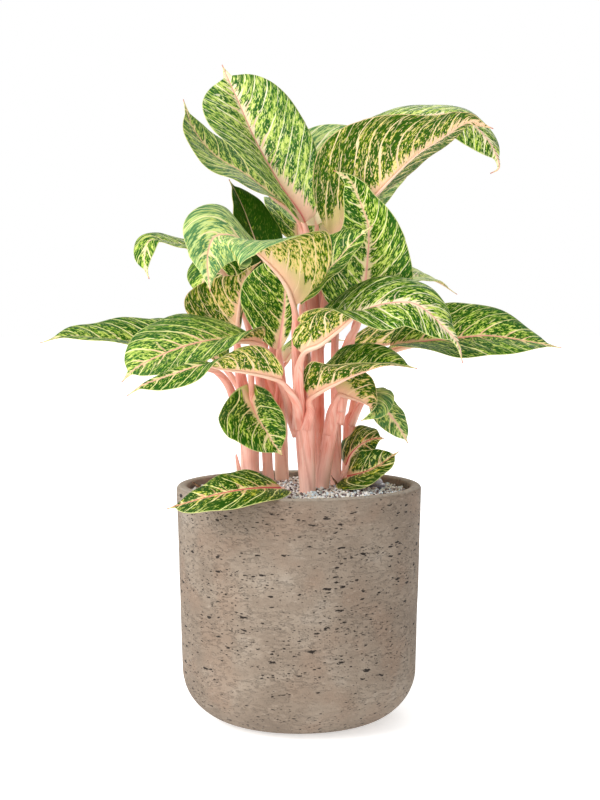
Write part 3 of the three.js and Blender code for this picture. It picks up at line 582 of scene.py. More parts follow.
def leaf_finish():
    """Variegated leaf. Marks: vein (mm across the lateral veins, mm out along them, seed), span (mm from the
    midrib, mm from the margin, share along the blade), tone (cream, shade, blush), under, band (mm).
    Blotched tissue lies between pale lateral veins that sway and thin out, finer veins that branch from
    them, and a pale wedge along the midrib, peach on the underside. A rich leaf has much cream, one with
    very little has no veins, and one with the most blush is aged, its greens browned."""
    g = Finish("leaf_skin", Specular_IOR_Level=0.15)
    p, w, seed = g.marks("vein")
    rib, margin, s = g.marks("span")
    cream, shade, blush = g.marks("tone")
    under, band = g.mark("under"), g.mark("band")
    sway = g.patches(p, w, seed, (30, 46)) - 0.5
    wriggle = g.patches(p, w, seed + 2.2, (8, 13)) - 0.5
    p = p + sway * 20.0 + wriggle * 3.4
    blotch = g.patches(p, w, seed, (3.1, 3.9), 3.0, 0.64)
    broad = g.patches(p, w, seed + 9.7, (9, 20))
    speck = g.patches(p, w, seed + 3.3, (1.9, 2.5), 1.0)
    streak = g.patches(p, w, seed + 6.1, (3.4, 34), 2.0, 0.6)
    flicker = g.patches(p, w, seed + 5.5, (5, 11))
    reach = rib / (rib + margin + 1.0)
    near_base = g.drop(s, 0.0, 0.45)
    rich = g.fade(cream, -0.1, 0.4)
    veined = g.fade(cream, -0.9, -0.4)
    # lateral veins: a line midway between whole numbers of spacings, thinner outwards, of its own weight
    lines = p / VEIN_SPACING + 50.0
    which = g.place(g.math("FLOOR", lines), seed, 0.0)
    weight = g.value("Value", "ShaderNodeTexWhiteNoise", {"Vector": which})
    off = off_line(g, lines, VEIN_SPACING)
    width = (1.0 - reach + 0.6) * (0.55 + weight * 0.8)
    main = g.drop(off / width, 0.5, 1.25) * g.fade(flicker, 0.36, 0.46) * veined
    away = off_line(g, (p + w * BRANCH_LEAN) / BRANCH_SPACING + 50.3, BRANCH_SPACING)
    branch = g.drop(away / width, 0.2, 0.8) * g.fade(broad, 0.52, 0.58) * veined * 0.6
    # blotched tissue, darker towards the margin and away from the veins
    beside = g.drop(off, 0.6, 3.6)
    depth = blotch + (broad - 0.5) * 0.5 + reach * 0.07 + shade * 0.08 + 0.015
    depth = depth + cream * -0.1 + beside * -0.05 + near_base * -0.02
    tissue = g.mix(under, g.ramp(depth, *UPPER_TISSUE), g.ramp(depth, *UNDER_TISSUE))
    # painted sheen: where shade is under 0, a pale blue-green sheen is painted on the upper side's tissue
    painted_sheen = g.math("MAXIMUM", shade * -1.0, 0.0) * (1.0 - under) * 0.85
    painted_sheen_colour = g.mix(g.fade(depth, 0.4, 0.56), (204, 224, 168), (112, 164, 112))
    tissue = g.mix(painted_sheen, tissue, painted_sheen_colour)
    aged = g.fade(blush, 0.85, 1.0)
    tissue = g.mix(aged * 0.8, tissue, (255, 216, 168), "MULTIPLY")
    pale = g.mix(rich, (204, 214, 108), (230, 234, 154))
    pale = g.mix(under, pale, (238, 216, 146))
    specks = g.fade(speck, 0.585, 0.64) * g.fade(reach, 0.0, 1.0, 0.95, 0.6)
    skin = g.mix(specks * (0.2 + veined * 0.8), tissue, pale)
    # pale veins, pinker towards the midrib, and the pale wedge that runs out from the midrib into them
    bright = g.mix(rich, (236, 232, 160), (251, 247, 206))
    bright = g.mix(under, bright, (252, 226, 178))
    warm_under = g.mix(g.fade(blush, 0.7, 1.0), (236, 186, 156), (200, 96, 92))
    warm = g.mix(under, g.ramp(blush, *BLUSHES), warm_under)
    line_colour = g.mix(g.drop(reach, 0.0, 0.5) * g.math("MINIMUM", blush, 0.8), bright, warm)
    skin = g.mix(g.math("MAXIMUM", main, branch), skin, line_colour)
    room = band * (1.1 + near_base) + (rich + 0.05) * (near_base + 0.12) * (10.0 + under * rich * 7.0)
    wedge = rib - (room + (streak - 0.46) * (9.0 + rich * 25.0) + beside * 1.5)
    wedge_colour = g.mix(0.8 - near_base * 0.4, warm, bright)
    wedge_under = g.mix(g.fade(rib, 2.0, 16.0), (240, 188, 156), (194, 186, 100))
    wedge_colour = g.mix(under * (1.0 - rich * 0.45), wedge_colour, wedge_under)
    skin = g.mix(g.drop(wedge, -1.6, 1.6, 0.95) * veined, skin, wedge_colour)
    skin = g.mix(main * under * 0.8, skin, line_colour)
    skin = g.mix(g.drop(rib - band, -0.6, 0.5), skin, warm)
    margin_colour = g.mix(under, (214, 220, 140), (228, 188, 140))
    skin = g.mix(g.drop(margin, 0.3, 1.0, 0.75), skin, margin_colour)
    skin = g.mix(g.fade(s, 0.975, 0.992), skin, (206, 140, 116))
    relief = main * -0.8 + blotch * 0.35 + speck * 0.25
    rough = 0.42 + under * 0.14 + speck * 0.1
    return g.wear(Base_Color=skin, Roughness=rough, Normal=g.bump(relief, 0.5, 0.0006))


FOOT_HEIGHTS = (0.262, 0.318)  # m above the floor, between which a stalk's pale foot fades out
PAINTED_SHADE_HEIGHTS = (0.38, 0.46)  # m above the floor, between which the painted shade sets in
SALMON = ((0.25, 214, 118, 98), (0.42, 240, 154, 134), (0.55, 248, 178, 158), (0.75, 254, 210, 192))


def stalk_finish():
    """Salmon-pink skin of stalks and canes, streaked along them. Marks: vein (mm along, mm round, seed), band
    (1 at a sheath's edge), tone (how pale the foot is, how pale the rest, how much painted shade it has high
    up)."""
    g = Finish("stalk_skin", Coat_Weight=0.1, Coat_Roughness=0.35)
    along, around, seed = g.marks("vein")
    pale_foot, pale, painted_shade_share = g.marks("tone")
    streak = g.patches(along, around, seed, (34, 1.6), 3.0, 0.6)
    cloud = g.patches(along, around, seed + 4.0, (26, 9))
    skin = g.ramp(streak * 0.7 + cloud * 0.6 - 0.15, *SALMON)
    height = g.parts(g.here())[2]
    foot = g.drop(height, *FOOT_HEIGHTS) * (0.5 + pale_foot * 0.6)
    skin = g.mix(foot, skin, g.mix(cloud, (255, 222, 208), (252, 210, 190)))
    skin = g.mix(pale, skin, (248, 210, 182))
    # painted shade: high in the plant, under the leaves, the skin turns a shaded red-brown in clouds
    painted_shade = painted_shade_share * g.fade(height, *PAINTED_SHADE_HEIGHTS) * (0.35 + cloud * 0.7)
    skin = g.mix(painted_shade, skin, (146, 84, 62))
    skin = g.mix(g.mark("band") * 0.4, skin, (196, 112, 92))
    grain = g.group(GRAIN, Vector=g.place(along / 20, around / 1.1, seed), Scale=1.0, Depth=0.0004)
    return g.wear(Base_Color=skin, Roughness=0.36 + streak * 0.22, Normal=grain["Normal"])


CAST = ((0.28, 116, 102, 88), (0.46, 131, 116, 101), (0.6, 142, 128, 113), (0.78, 154, 142, 129))
RIM_HEIGHTS = (0.2652, 0.2675)  # m above the floor, between which the paler rim sets in
# cells a metre, how far their place is shaken, the share that hold a pit, how dark it is
PIT_SIZES = (
    (80.0, 0.010, 0.07, 1.0),
    (120.0, 0.008, 0.16, 1.0),
    (210.0, 0.004, 0.22, 0.95),
    (360.0, 0.003, 0.18, 0.8),
)


def pot_finish():
    """Washed stone-look cast: warm grey-beige clouds, pale scuffs, crumbly relief, and dark pits drawn out
    sideways that gather in loose bands. The rim is paler."""
    g = Finish("pot_cast", Specular_IOR_Level=0.35)
    here = g.here()
    cloud = g.noise(here, 11.0, 4.0, 0.55)
    patch = g.noise(g.stretch(here, 1.0, 1.6), 30.0, 3.0, 0.6)
    skin = g.ramp(cloud * 0.8 + patch * 0.5 - 0.15, *CAST)
    warm = g.fade(g.noise(here, 17.0), 0.5, 0.68, 0.0, 0.45)
    skin = g.mix(warm, skin, (138, 115, 97))
    scuff = g.noise(g.stretch(here, 1.0, 3.0), 90.0, 4.0, 0.7)
    skin = g.mix(g.fade(scuff, 0.56, 0.72, 0.0, 0.45), skin, (168, 154, 139))
    shift = g.noise(g.stretch(here, 1.0, 2.5), 160.0, output="Color")
    shift = g.vector("SUBTRACT", shift, (0.5, 0.5, 0.5))
    bands = g.noise(g.stretch(here, 0.5, 2.2), 26.0, 2.0, 0.6)
    pits = 0.0
    for scale, spread, share, depth in PIT_SIZES:
        moved = g.vector("ADD", g.stretch(shift, spread, spread), g.stretch(here, 0.85, 2.5))
        cells = g.values(g.node("ShaderNodeTexVoronoi", {"Vector": moved, "Scale": scale}))
        chance = g.parts(cells["Color"])[0]
        wanted = g.fade(bands, 0.4, 0.62, 0.2, 1.9) * share
        size = g.fade(chance / wanted, 0.0, 1.0, 0.36, 0.04)
        pit = g.drop(cells["Distance"] - size, -0.06, 0.02) * depth
        pits = g.math("MAXIMUM", pits, pit)
    rim = g.fade(g.parts(here)[2], *RIM_HEIGHTS)
    pits = pits * (1.0 - rim * 0.8)
    skin = g.mix(rim * 0.55, skin, (178, 168, 156))
    skin = g.mix(pits, skin, (38, 29, 22))
    crumble = g.noise(g.stretch(here, 0.7, 1.9), 150.0, 4.0, 0.62)
    crumble = g.fade(crumble, 0.5, 0.62) * g.fade(patch, 0.42, 0.58, 0.35, 1.0)
    height = scuff * 0.6 + crumble * 1.1 + pits * -2.2
    grain = g.group(GRAIN, Vector=here, Scale=420.0, Depth=0.0007)
    relief = g.bump(height, 1.0, 0.0009, Normal=grain["Normal"])
    return g.wear(Base_Color=skin, Roughness=0.72 + patch * 0.2, Normal=relief)


GRANULE_COLOURS = (
    (0.0, 253, 252, 250), (0.34, 220, 234, 242), (0.52, 240, 232, 218),
    (0.66, 206, 190, 182), (0.76, 120, 96, 98), (0.9, 66, 54, 58),
)


def granule_finish():
    """Mixed mineral granules: each one's own random mark picks its colour."""
    g = Finish("granule_mix")
    skin = g.ramp(g.mark("pick"), *GRANULE_COLOURS, steps=True)
    blot = g.noise(g.here(), 900.0)
    skin = g.mix(g.fade(blot, 0.4, 0.7, 0.0, 0.22), skin, (150, 136, 126))
    return g.wear(Base_Color=skin, Roughness=g.fade(blot, 0.3, 0.7, 0.45, 0.85))


def bed_finish():
    """The shaded bed between the granules."""
    g = Finish("bed_shade")
    grain = g.group(GRAIN, Vector=g.here(), Scale=600.0, Depth=0.002)
    skin = g.mix(grain["Mask"], (92, 80, 74), (150, 138, 128))
    return g.wear(Base_Color=skin, Roughness=0.8 + grain["Mask"] * 0.15, Normal=grain["Normal"])


def cap_finish():
    """Smoky lilac cap plastic: a darker skirt, a paler dome, and faint scratches."""
    g = Finish("cap_plastic", Coat_Weight=0.5, Coat_Roughness=0.12)
    here = g.here()
    scratch = g.noise(g.stretch(here, 1.0, 0.2), 1500.0)
    dome = g.fade(g.parts(here)[2], (CAP_BASE + 2.6) * MM, (CAP_BASE + 6.5) * MM)
    skin = g.mix(dome, (92, 84, 98), (196, 192, 206))
    skin = g.mix(scratch * 0.25, skin, (226, 222, 230))
    return g.wear(Base_Color=skin, Roughness=0.16 + scratch * 0.2)


def pin_finish():
    """Red-orange pin plastic with a slightly mottled skin."""
    g = Finish("pin_plastic")
    mottle = g.noise(g.here(), 2200.0)
    skin = g.mix(mottle, (206, 62, 28), (232, 96, 48))
    return g.wear(Base_Color=skin, Roughness=0.3 + mottle * 0.2)


def dry_finish():
    """Withered brown tissue: streaks along it from tan to dark brown."""
    g = Finish("dry_tissue")
    streak = g.noise(g.stretch(g.here(), 1.0, 0.35), 520.0, 4.0, 0.65)
    skin = g.ramp(streak, (0.3, 58, 38, 24), (0.5, 122, 82, 52), (0.72, 182, 146, 108))
    return g.wear(Base_Color=skin, Roughness=0.7 + streak * 0.25, Normal=g.bump(streak, 0.8, 0.0008))


LEAF_SKIN = leaf_finish()
STALK_SKIN = stalk_finish()
POT_CAST = pot_finish()
GRANULE_MIX = granule_finish()
BED_SHADE = bed_finish()
CAP_PLASTIC = cap_finish()
PIN_PLASTIC = pin_finish()
DRY_TISSUE = dry_finish()

# ---- Leaves ----
SPINE_STEPS = 3000
BLADE_ROWS = 96
BLADE_COLUMNS = 45
COLUMN_CROWD = 1.15  # over 1, the columns stand closer at the midrib
STALK_SIDES = 14
PETIOLE_ROWS = 34
RIB_ROWS = 44
RIB_END = 0.95  # share of the blade at which the midrib stops standing out
RIB_SHARE = 0.62  # of the stalk's radius that the midrib starts with, over its thread
RIB_THREAD = 0.22  # the midrib's radius at the tip
ARCH = np.radians(13)  # how much each half bulges between the midrib and its margin
VEIN_LEAN = 0.72  # mm that a lateral vein runs forward for each mm out
VEIN_ARCH = 0.55  # and how much more it does so towards the margin
QUILT = 0.42  # mm of relief between lateral veins
WAVE = 1.1  # mm of wave at the margin
WAVES = 3.3  # along a blade
EDGE_THINNED = 0.55  # share of the blade's thickness lost at the margin
BAND = (0.45, 0.75)  # mm of pale band at each side of the midrib: at least, and for each mm of its radius
BAND_UNDER = 0.6  # of it on the underside
WING = 0.28  # share by which a petiole is wider where its sheath clasps the cane
GROOVE = 0.16  # share of the petiole's radius that the groove on its upper side takes
GROOVE_SPREAD = 0.5
RIB_PALE = 0.8  # how pale the midrib's underside is
RIB_BLEND = 30  # mm before the blade over which the petiole thins to the midrib
SINK = (22, 14)  # mm before and after the blade's start over which the stalk sinks under it
SINK_LEFT = 0.3  # mm of the stalk's radius by which it doesn't sink


class Spine:
    """A leaf's line by length: place and direction at any length from the stalk's root. The blade starts at
    start and is blade long."""

    def __init__(self, leaf):
        points = leaf["petiole"] + leaf["rib"]
        self.line = smooth_line(points, np.linspace(0, 1, SPINE_STEPS + 1))
        steps = np.linalg.norm(np.diff(self.line, axis=0), axis=1)
        self.lengths = np.concatenate([[0], np.cumsum(steps)])
        self.end = self.lengths[-1]
        share = len(leaf["petiole"]) / (len(points) - 1)
        self.start = self.lengths[round(share * SPINE_STEPS)]
        self.blade = self.end - self.start

    def at(self, length):
        return np.stack([np.interp(length, self.lengths, axis) for axis in self.line.T], -1)

    def along(self, length):
        step = self.end / SPINE_STEPS
        way = self.at(np.minimum(length + step, self.end)) - self.at(np.maximum(length - step, 0))
        return way / np.linalg.norm(way, axis=-1, keepdims=True)


def rightward(leaf):
    """The level direction to the right of the leaf's heading."""
    heading = np.radians(leaf["heading"])
    return np.array([np.sin(heading), -np.cos(heading), 0.0])


def half_width(leaf, s):
    """Half the blade's width at share s: a rise like a power of t times a fall like a power of 1 - t, ending
    before the tip, joined by a cubic mean to a tip that narrows like a power of the share left."""
    widest, base, tip = leaf["widest"], leaf["base"], leaf["tip"]
    t = np.minimum(s / (1 - tip), 1)
    body = (t / widest) ** base * ((1 - t) / (1 - widest)) ** (base * (1 - widest) / widest)
    drawn = TIP_WIDTH * np.minimum((1 - s) / (tip + TIP_DRAWN), 1) ** 1.35
    return np.maximum(leaf["width"] / 2 * np.cbrt(body**3 + drawn**3 * (s > 0.5)), LEAST_HALF)


def rib_radius(leaf, s):
    """The midrib's radius under the blade: a share of the stalk's, thinning to a thread at the tip."""
    return leaf["stalk"][1] * RIB_SHARE * (1 - s) ** 2 + RIB_THREAD


def blade_shell(leaf, spine, seed):
    """The blade: at share s and place c across, the point is the midrib's, moved by the half width times |c|
    along a line that leaves the midrib at fold + side * roll and bends evenly towards the margin. Lateral
    veins leave the midrib forward and arch to the tip; the skin bulges between them."""
    s = np.linspace(0, 1, BLADE_ROWS)
    k = np.linspace(-1, 1, BLADE_COLUMNS)
    lengths = spine.start + spine.blade * s
    centre, tangent = spine.at(lengths), spine.along(lengths)
    across = carried(rightward(leaf), tangent)
    face = np.cross(across, tangent)
    side, far = np.sign(k)[None, :], (np.abs(k) ** COLUMN_CROWD)[None, :]
    left, right = leaf["shares"]
    half = half_width(leaf, s)[:, None] * np.where(side > 0, right, left)
    lift = np.radians(smooth_line(leaf["fold"], s) + side * smooth_line(leaf["roll"], s)) + ARCH
    slope = lift - 2 * ARCH * far
    out = half * (np.sin(lift) - np.sin(slope)) / (2 * ARCH)
    rise = half * (np.cos(slope) - np.cos(lift)) / (2 * ARCH)
    back = leaf["lobe"] * far**2 * np.exp(-LOBE_FADE * s)[:, None]
    rib = half * far
    vein = spine.blade * s[:, None] - VEIN_LEAN * rib - VEIN_ARCH * rib**2 / np.maximum(half, 12)
    quilt = QUILT * np.cos(TURN * vein / VEIN_SPACING) * ease(rib, 1, 9) * (1 - far**4)
    phase = seed * 1.7 + side
    wave = WAVE * far**2 * np.sin(TURN * WAVES * s[:, None] + phase) * ease(half, 6, 24)
    middle = grid_about(centre, across, face, side * out, rise) - tangent[:, None] * back[..., None]
    normal = grid_about(0 * centre, across, face, -side * np.sin(slope), np.cos(slope))
    normal /= np.linalg.norm(normal, axis=-1, keepdims=True)
    middle += normal * (quilt - wave)[..., None]
    thick = BLADE_THICK / 2 * (1 - EDGE_THINNED * far**8)[..., None]
    veins = triples(vein, rib, seed * 7.3 + 4.1 * side)
    spans = triples(rib, half - rib, s[:, None])
    upper = np.repeat(BAND[0] + BAND[1] * rib_radius(leaf, s), BLADE_COLUMNS)
    return Shell(
        *slab(middle + normal * thick, middle - normal * thick),
        vein=np.tile(veins, (2, 1)),
        span=np.tile(spans, (2, 1)),
        tone=np.repeat([leaf["tone"], leaf.get("under_tone", leaf["tone"])], len(veins), axis=0),
        under=np.repeat([0.0, 1.0], len(veins)),
        band=np.concatenate([upper, upper * BAND_UNDER]),
    )


def stalk_shell(leaf, spine, seed):
    """The stalk, and the midrib that it becomes: rings across the leaf's line, wider where the sheath clasps
    its cane, with a groove on the upper side, sinking to the blade's underside as they reach it."""
    thick, thin = leaf["stalk"]
    start = spine.start
    under = start + spine.blade * np.linspace(0, RIB_END, RIB_ROWS)[1:]
    lengths = np.concatenate([np.linspace(0, start, PETIOLE_ROWS), under])
    tangent = spine.along(lengths)
    before = carried(rightward(leaf), tangent[PETIOLE_ROWS - 1 :: -1])[::-1]
    after = carried(rightward(leaf), tangent[PETIOLE_ROWS - 1 :])[1:]
    across = np.concatenate([before, after])
    face = np.cross(across, tangent)
    share = np.clip(lengths / start, 0, 1)
    s = np.clip((lengths - start) / spine.blade, 0, 1)
    radius = np.where(lengths <= start, thick + (thin - thick) * share, rib_radius(leaf, s))
    radius = radius + (rib_radius(leaf, 0) - thin) * ease(lengths, start - RIB_BLEND, start) * (s <= 0)
    drop = ease(lengths, start - SINK[0], start + SINK[1]) * (radius - SINK_LEFT)
    centre = spine.at(lengths) - face * drop[:, None]
    theta = round_angles(STALK_SIDES)
    wing = 1 + WING * (1 - ease(share, 0.1, 0.75))
    upper_side = np.exp(-(((theta - TURN / 4) / GROOVE_SPREAD) ** 2))
    groove = 1 - GROOVE * upper_side * (1 - s[:, None])
    x = (radius * wing)[:, None] * np.cos(theta) * groove
    y = radius[:, None] * np.sin(theta) * groove
    points, faces = loft(grid_about(centre, across, face, x, y))
    none = np.zeros(len(points))
    tone = np.zeros((len(points), 3))
    pale = RIB_PALE * ease(lengths, start - 20, start + 20)
    # tone: no pale foot, the pale midrib under the blade, and painted shade, most near the petiole's root
    tone[:-2] = triples(0 * theta, pale[:, None], 1 - ease(share, 0.3, 0.8)[:, None])
    veins = skin_marks(lengths, radius, theta, seed * 5.1)
    return Shell(points, faces, 1, vein=veins, span=0 * veins, tone=tone, under=none, band=none)


def make_leaf(leaf, seed):
    spine = Spine(leaf)
    shells = [blade_shell(leaf, spine, seed), stalk_shell(leaf, spine, seed)]
    make_piece(leaf["name"] + "_grown", shells, [LEAF_SKIN, STALK_SKIN], [leaf["name"]])


for seed, leaf in enumerate(LEAVES, 1):
    make_leaf(leaf, seed)


# ---- Canes ----
CANE_ROWS = 70  # up to where the top rounds
TOP_ROWS = 20
ROUND_FROM = 0.8  # share of the cane's length at which its top starts to round
LEAST_TOP = 0.02  # share of the radius left at the very top
CANE_SIDES = 60
CANE_SUNK = 12  # mm of cane shown below the bed's level
CANE_LUMPS = (0.35, 9)  # mm high, mm across
SHEATHS = 2  # overlapping leaf sheaths round a cane
SHEATH_STEP = 0.9  # mm that the radius drops at a sheath's edge
SHEATH_LEAN = 0.5  # of a sheath's turn that its edge winds over the cane's length
SHEATH_EDGE = (0.04, 0.05)  # where the edge's mark lies and how far it spreads, as shares of a sheath


def make_cane(seed, name, foot, top, radii, tone=PLAIN_CANE):
    """A cane: rings from under the bed to a rounded top, on a straight line. Round it run overlapping
    sheaths: the radius climbs round the cane and drops at each sheath's edge, which winds slowly upwards."""
    foot = np.array([*foot, SOIL_TOP], float)
    top = np.array(top, float)
    length = np.linalg.norm(top - foot)
    axis = (top - foot) / length
    across = np.cross(axis, [0.0, 1.0, 0.0])
    across /= np.linalg.norm(across)
    away = np.cross(axis, across)
    straight = np.linspace(-CANE_SUNK / length, ROUND_FROM, CANE_ROWS)
    rounding = np.sin(np.linspace(0, TURN / 4, TOP_ROWS + 1)[1:])
    share = np.concatenate([straight, ROUND_FROM + (1 - ROUND_FROM) * rounding])
    low, high = radii
    close = np.sqrt(1 - np.clip((share - ROUND_FROM) / (1 - ROUND_FROM), 0, 1) ** 2)
    radius = (low + (high - low) * np.clip(share, 0, 1)) * np.maximum(close, LEAST_TOP)
    theta = round_angles(CANE_SIDES)
    wind = theta / TURN * SHEATHS + seed * 0.37 + SHEATH_LEAN * share[:, None]
    climb = wind - np.floor(wind)
    body = radius[:, None] - SHEATH_STEP * (1 - climb) * close[:, None]
    line = foot + axis * (share * length)[:, None]
    rings = grid_about(line, across, away, body * np.cos(theta), body * np.sin(theta))
    height, size = CANE_LUMPS
    outward_way = (rings - line[:, None]) / body[..., None]
    points, faces = loft(rings + height * lumps(rings, size, seed)[..., None] * outward_way)
    veins = skin_marks(share * length, radius, theta, seed * 5.1 + 40)
    middle, spread = SHEATH_EDGE
    edge = np.append(np.exp(-(((climb - middle) / spread) ** 2)).ravel(), [0, 0])
    # tone: as given, and the full painted shade high up
    tones = np.tile((*tone, 1.0), (len(points), 1))
    shell = Shell(points, faces, 0, vein=veins, tone=tones, band=edge)
    make_piece(name + "_sheathed", [shell], [STALK_SKIN], [name])


for seed, cane in enumerate(CANES, 1):
    make_cane(seed, *cane)


# ---- Pot ----
POT_SIDES = 288
POT_LUMPS = ((0.28, 34, 3), (0.16, 11, 4))  # mm high, mm across, seed
POT_SHRUNK = 0.45  # mm that the cast surface lies inside the plain one, so that no lump stands out of it


def arc(centre, radii, first, last, steps):
    """Points on an ellipse's arc from one angle to another, as (radius, height)."""
    angle = np.linspace(first, last, steps)
    return np.stack([centre[0] + radii[0] * np.cos(angle), centre[1] + radii[1] * np.sin(angle)], -1)


def wall_radius(z):
    return POT_BOTTOM + (POT_TOP - POT_BOTTOM) * z / POT_HEIGHT


def make_pot():
    """The pot: a turned profile from the middle of the foot, round the bottom edge, up the wall, over the rim
    and down inside to the floor. Smooth lumps of under half a millimetre make the cast surface uneven."""
    fillet = POT_BOTTOM - POT_FOOT
    low_rim = POT_HEIGHT - RIM_ROUND
    outer, inner = wall_radius(low_rim) - RIM_ROUND, wall_radius(low_rim) - POT_WALL + RIM_ROUND
    wall_z = np.linspace(fillet, low_rim, 86)[1:-1]
    inside_z = np.linspace(low_rim, fillet + POT_FLOOR, 26)[1:-1]
    flat = np.linspace(4, POT_FOOT, 10)[:-1]
    quarter, bend, round_rim = TURN / 4, (wall_radius(fillet) - POT_FOOT, fillet), (RIM_ROUND, RIM_ROUND)
    profile = np.concatenate([
        np.stack([flat, 0 * flat], -1),
        arc((POT_FOOT, fillet), bend, -quarter, 0, 44),
        np.stack([wall_radius(wall_z), wall_z], -1),
        arc((outer, low_rim), round_rim, 0, quarter, 9),
        arc((inner, low_rim), round_rim, quarter, 2 * quarter, 9),
        np.stack([wall_radius(inside_z) - POT_WALL, inside_z], -1),
        arc((POT_FOOT - POT_WALL, fillet + POT_FLOOR), bend, 0, -quarter, 12),
    ])
    rings = turned_rings(profile, POT_SIDES)
    lean = turned_rings(0 * profile + [1, 0], POT_SIDES)
    dent = sum(high * lumps(rings, size, seed) for high, size, seed in POT_LUMPS) - POT_SHRUNK
    rings = rings + lean * (dent * ease(profile[:, 1:], 3, 12))[..., None]
    make_piece("pot_cast_shell", [Shell(*loft(rings))], [POT_CAST], ["pot"])


make_pot()


# ---- Bed and granules ----
GRANULE_PITCH = 3.3
GRANULE_SHAKE = 0.9  # mm that a granule stands off its place in the lattice, at most, along x and along y
GRANULE_RADII = (1.6, 2.6)
GRANULE_SQUASH = (0.62, 1.0)
GRANULE_DENTS = (0.82, 1.12)
LATTICE_REACH = 60  # steps of the lattice to each side
ROW_PITCH = 0.866  # of a step between the lattice's rows
SECOND_SHARE = 0.35  # of the granules that carry another one
SECOND_OFF = (1.6, 0.9)
SECOND_LIFT = 1.7
BED_EDGE = wall_radius(SOIL_TOP) - POT_WALL


def bed_height(x, y):
    """The bed's top: a low round mound with fixed unevenness that fades out at the wall."""
    inward = 1 - (np.hypot(x, y) / BED_EDGE) ** 2
    uneven = np.sin(x * 0.41 + 1.3 * np.sin(y * 0.23)) * np.cos(y * 0.37 - x * 0.11)
    return SOIL_TOP + SOIL_MOUND * inward + SOIL_RELIEF * uneven * np.clip(inward * 8, 0, 1)


def turned(count, rng):
    """Random turns as 3 by 3 matrices, from random unit quaternions."""
    q = rng.normal(size=(4, count))
    w, x, y, z = q / np.linalg.norm(q, axis=0)
    rows = [
        [1 - 2 * (y * y + z * z), 2 * (x * y - z * w), 2 * (x * z + y * w)],
        [2 * (x * y + z * w), 1 - 2 * (x * x + z * z), 2 * (y * z - x * w)],
        [2 * (x * z - y * w), 2 * (y * z + x * w), 1 - 2 * (x * x + y * y)],
    ]
    return np.moveaxis(np.array(rows), -1, 0)


GOLDEN = (1 + 5**0.5) / 2
CORNERS = np.array([[0, a, b * GOLDEN] for a in (1, -1) for b in (1, -1)], float)
CORNERS = np.concatenate([np.roll(CORNERS, k, axis=1) for k in range(3)]) / np.hypot(1, GOLDEN)


def twenty_faces():
    """The faces of a twenty-sided solid: every three corners that are all one edge apart, turned outwards."""
    gap = np.linalg.norm(CORNERS[:, None] - CORNERS[None], axis=-1)
    near = np.isclose(gap, gap[gap > 0.1].min())
    a, b, c = np.nonzero(near[:, :, None] & near[None] & near[:, None, :])
    found = np.stack([a, b, c], -1)[(a < b) & (b < c)]
    inward = np.linalg.det(CORNERS[found]) <= 0
    found[inward] = found[inward, ::-1]
    return found


def make_granules():
    """Loose granules on the bed: a shaken triangular lattice inside the pot's wall and clear of what stands
    in the bed, and a sparser second layer. Each is a dented twenty-sided solid, squashed and turned at
    random."""
    rng = np.random.default_rng(11)
    steps = np.arange(-LATTICE_REACH, LATTICE_REACH + 1)
    i, j = np.meshgrid(steps, steps)
    x = (i + 0.5 * j).ravel() * GRANULE_PITCH
    y = j.ravel() * GRANULE_PITCH * ROW_PITCH
    x = x + rng.uniform(-GRANULE_SHAKE, GRANULE_SHAKE, x.size)
    y = y + rng.uniform(-GRANULE_SHAKE, GRANULE_SHAKE, y.size)
    second = rng.uniform(size=x.size) < SECOND_SHARE
    x = np.concatenate([x, x[second] + SECOND_OFF[0]])
    y = np.concatenate([y, y[second] + SECOND_OFF[1]])
    layer = np.repeat([0, 1], [second.size, second.sum()])
    free = np.hypot(x, y) < BED_EDGE - 2.2
    for _, foot, _, radii, *_ in CANES:
        free &= np.hypot(x - foot[0], y - foot[1]) > radii[0] - 0.5
    free &= np.hypot(x - GAUGE_AT[0], y - GAUGE_AT[1]) > GAUGE_RADIUS - 3
    x, y, layer = x[free], y[free], layer[free]
    count = x.size
    size = rng.uniform(*GRANULE_RADII, (count, 1, 1)) * (1 - 0.1 * layer[:, None, None])
    squash = rng.uniform(*GRANULE_SQUASH, (count, 1, 3))
    dents = rng.uniform(*GRANULE_DENTS, (count, 12, 1))
    shapes = np.einsum("nij,nkj->nki", turned(count, rng), CORNERS[None] * dents * squash) * size
    z = bed_height(x, y) - 0.2 + SECOND_LIFT * layer + rng.uniform(-0.4, 0.5, count)
    shapes = shapes + np.stack([x, y, z], -1)[:, None, :]
    faces = (twenty_faces()[None] + 12 * np.arange(count)[:, None, None]).reshape(-1, 3)
    shell = Shell(shapes.reshape(-1, 3), [faces], 0, pick=np.repeat(rng.uniform(size=count), 12))
    make_piece("granules_loose", [shell], [GRANULE_MIX], smooth=False)


make_granules()
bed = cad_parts["soil"]
bed.data.materials.clear()
bed.data.materials.append(BED_SHADE)


# ---- Water gauge ----
SKIRT = [(4, 0), (10.4, 0), (GAUGE_RADIUS, 0.7), (GAUGE_RADIUS, 1.9), (10.3, 3.0), (8.8, 3.7)]
DOME = [(7.9, 4.3), (7.6, 5.4), (7.0, 6.9), (5.9, 8.3), (4.3, 9.3), (2.4, 9.85), (1.5, GAUGE_HEIGHT)]
PIN = [(1.4, -3), (1.35, 0), (1.3, 4.5), (1.05, 6.2), (0.5, 6.85), (0.1, 6.95)]


def turned_piece(name, outline, rows, sides, base, finish, node):
    """A piece turned from a smooth outline of (radius, height over base) about the gauge's upright line."""
    profile = smooth_line(outline, np.linspace(0, 1, rows)) + [0, base]
    make_piece(name, [Shell(*loft(turned_rings(profile, sides, GAUGE_AT)))], [finish], [node])


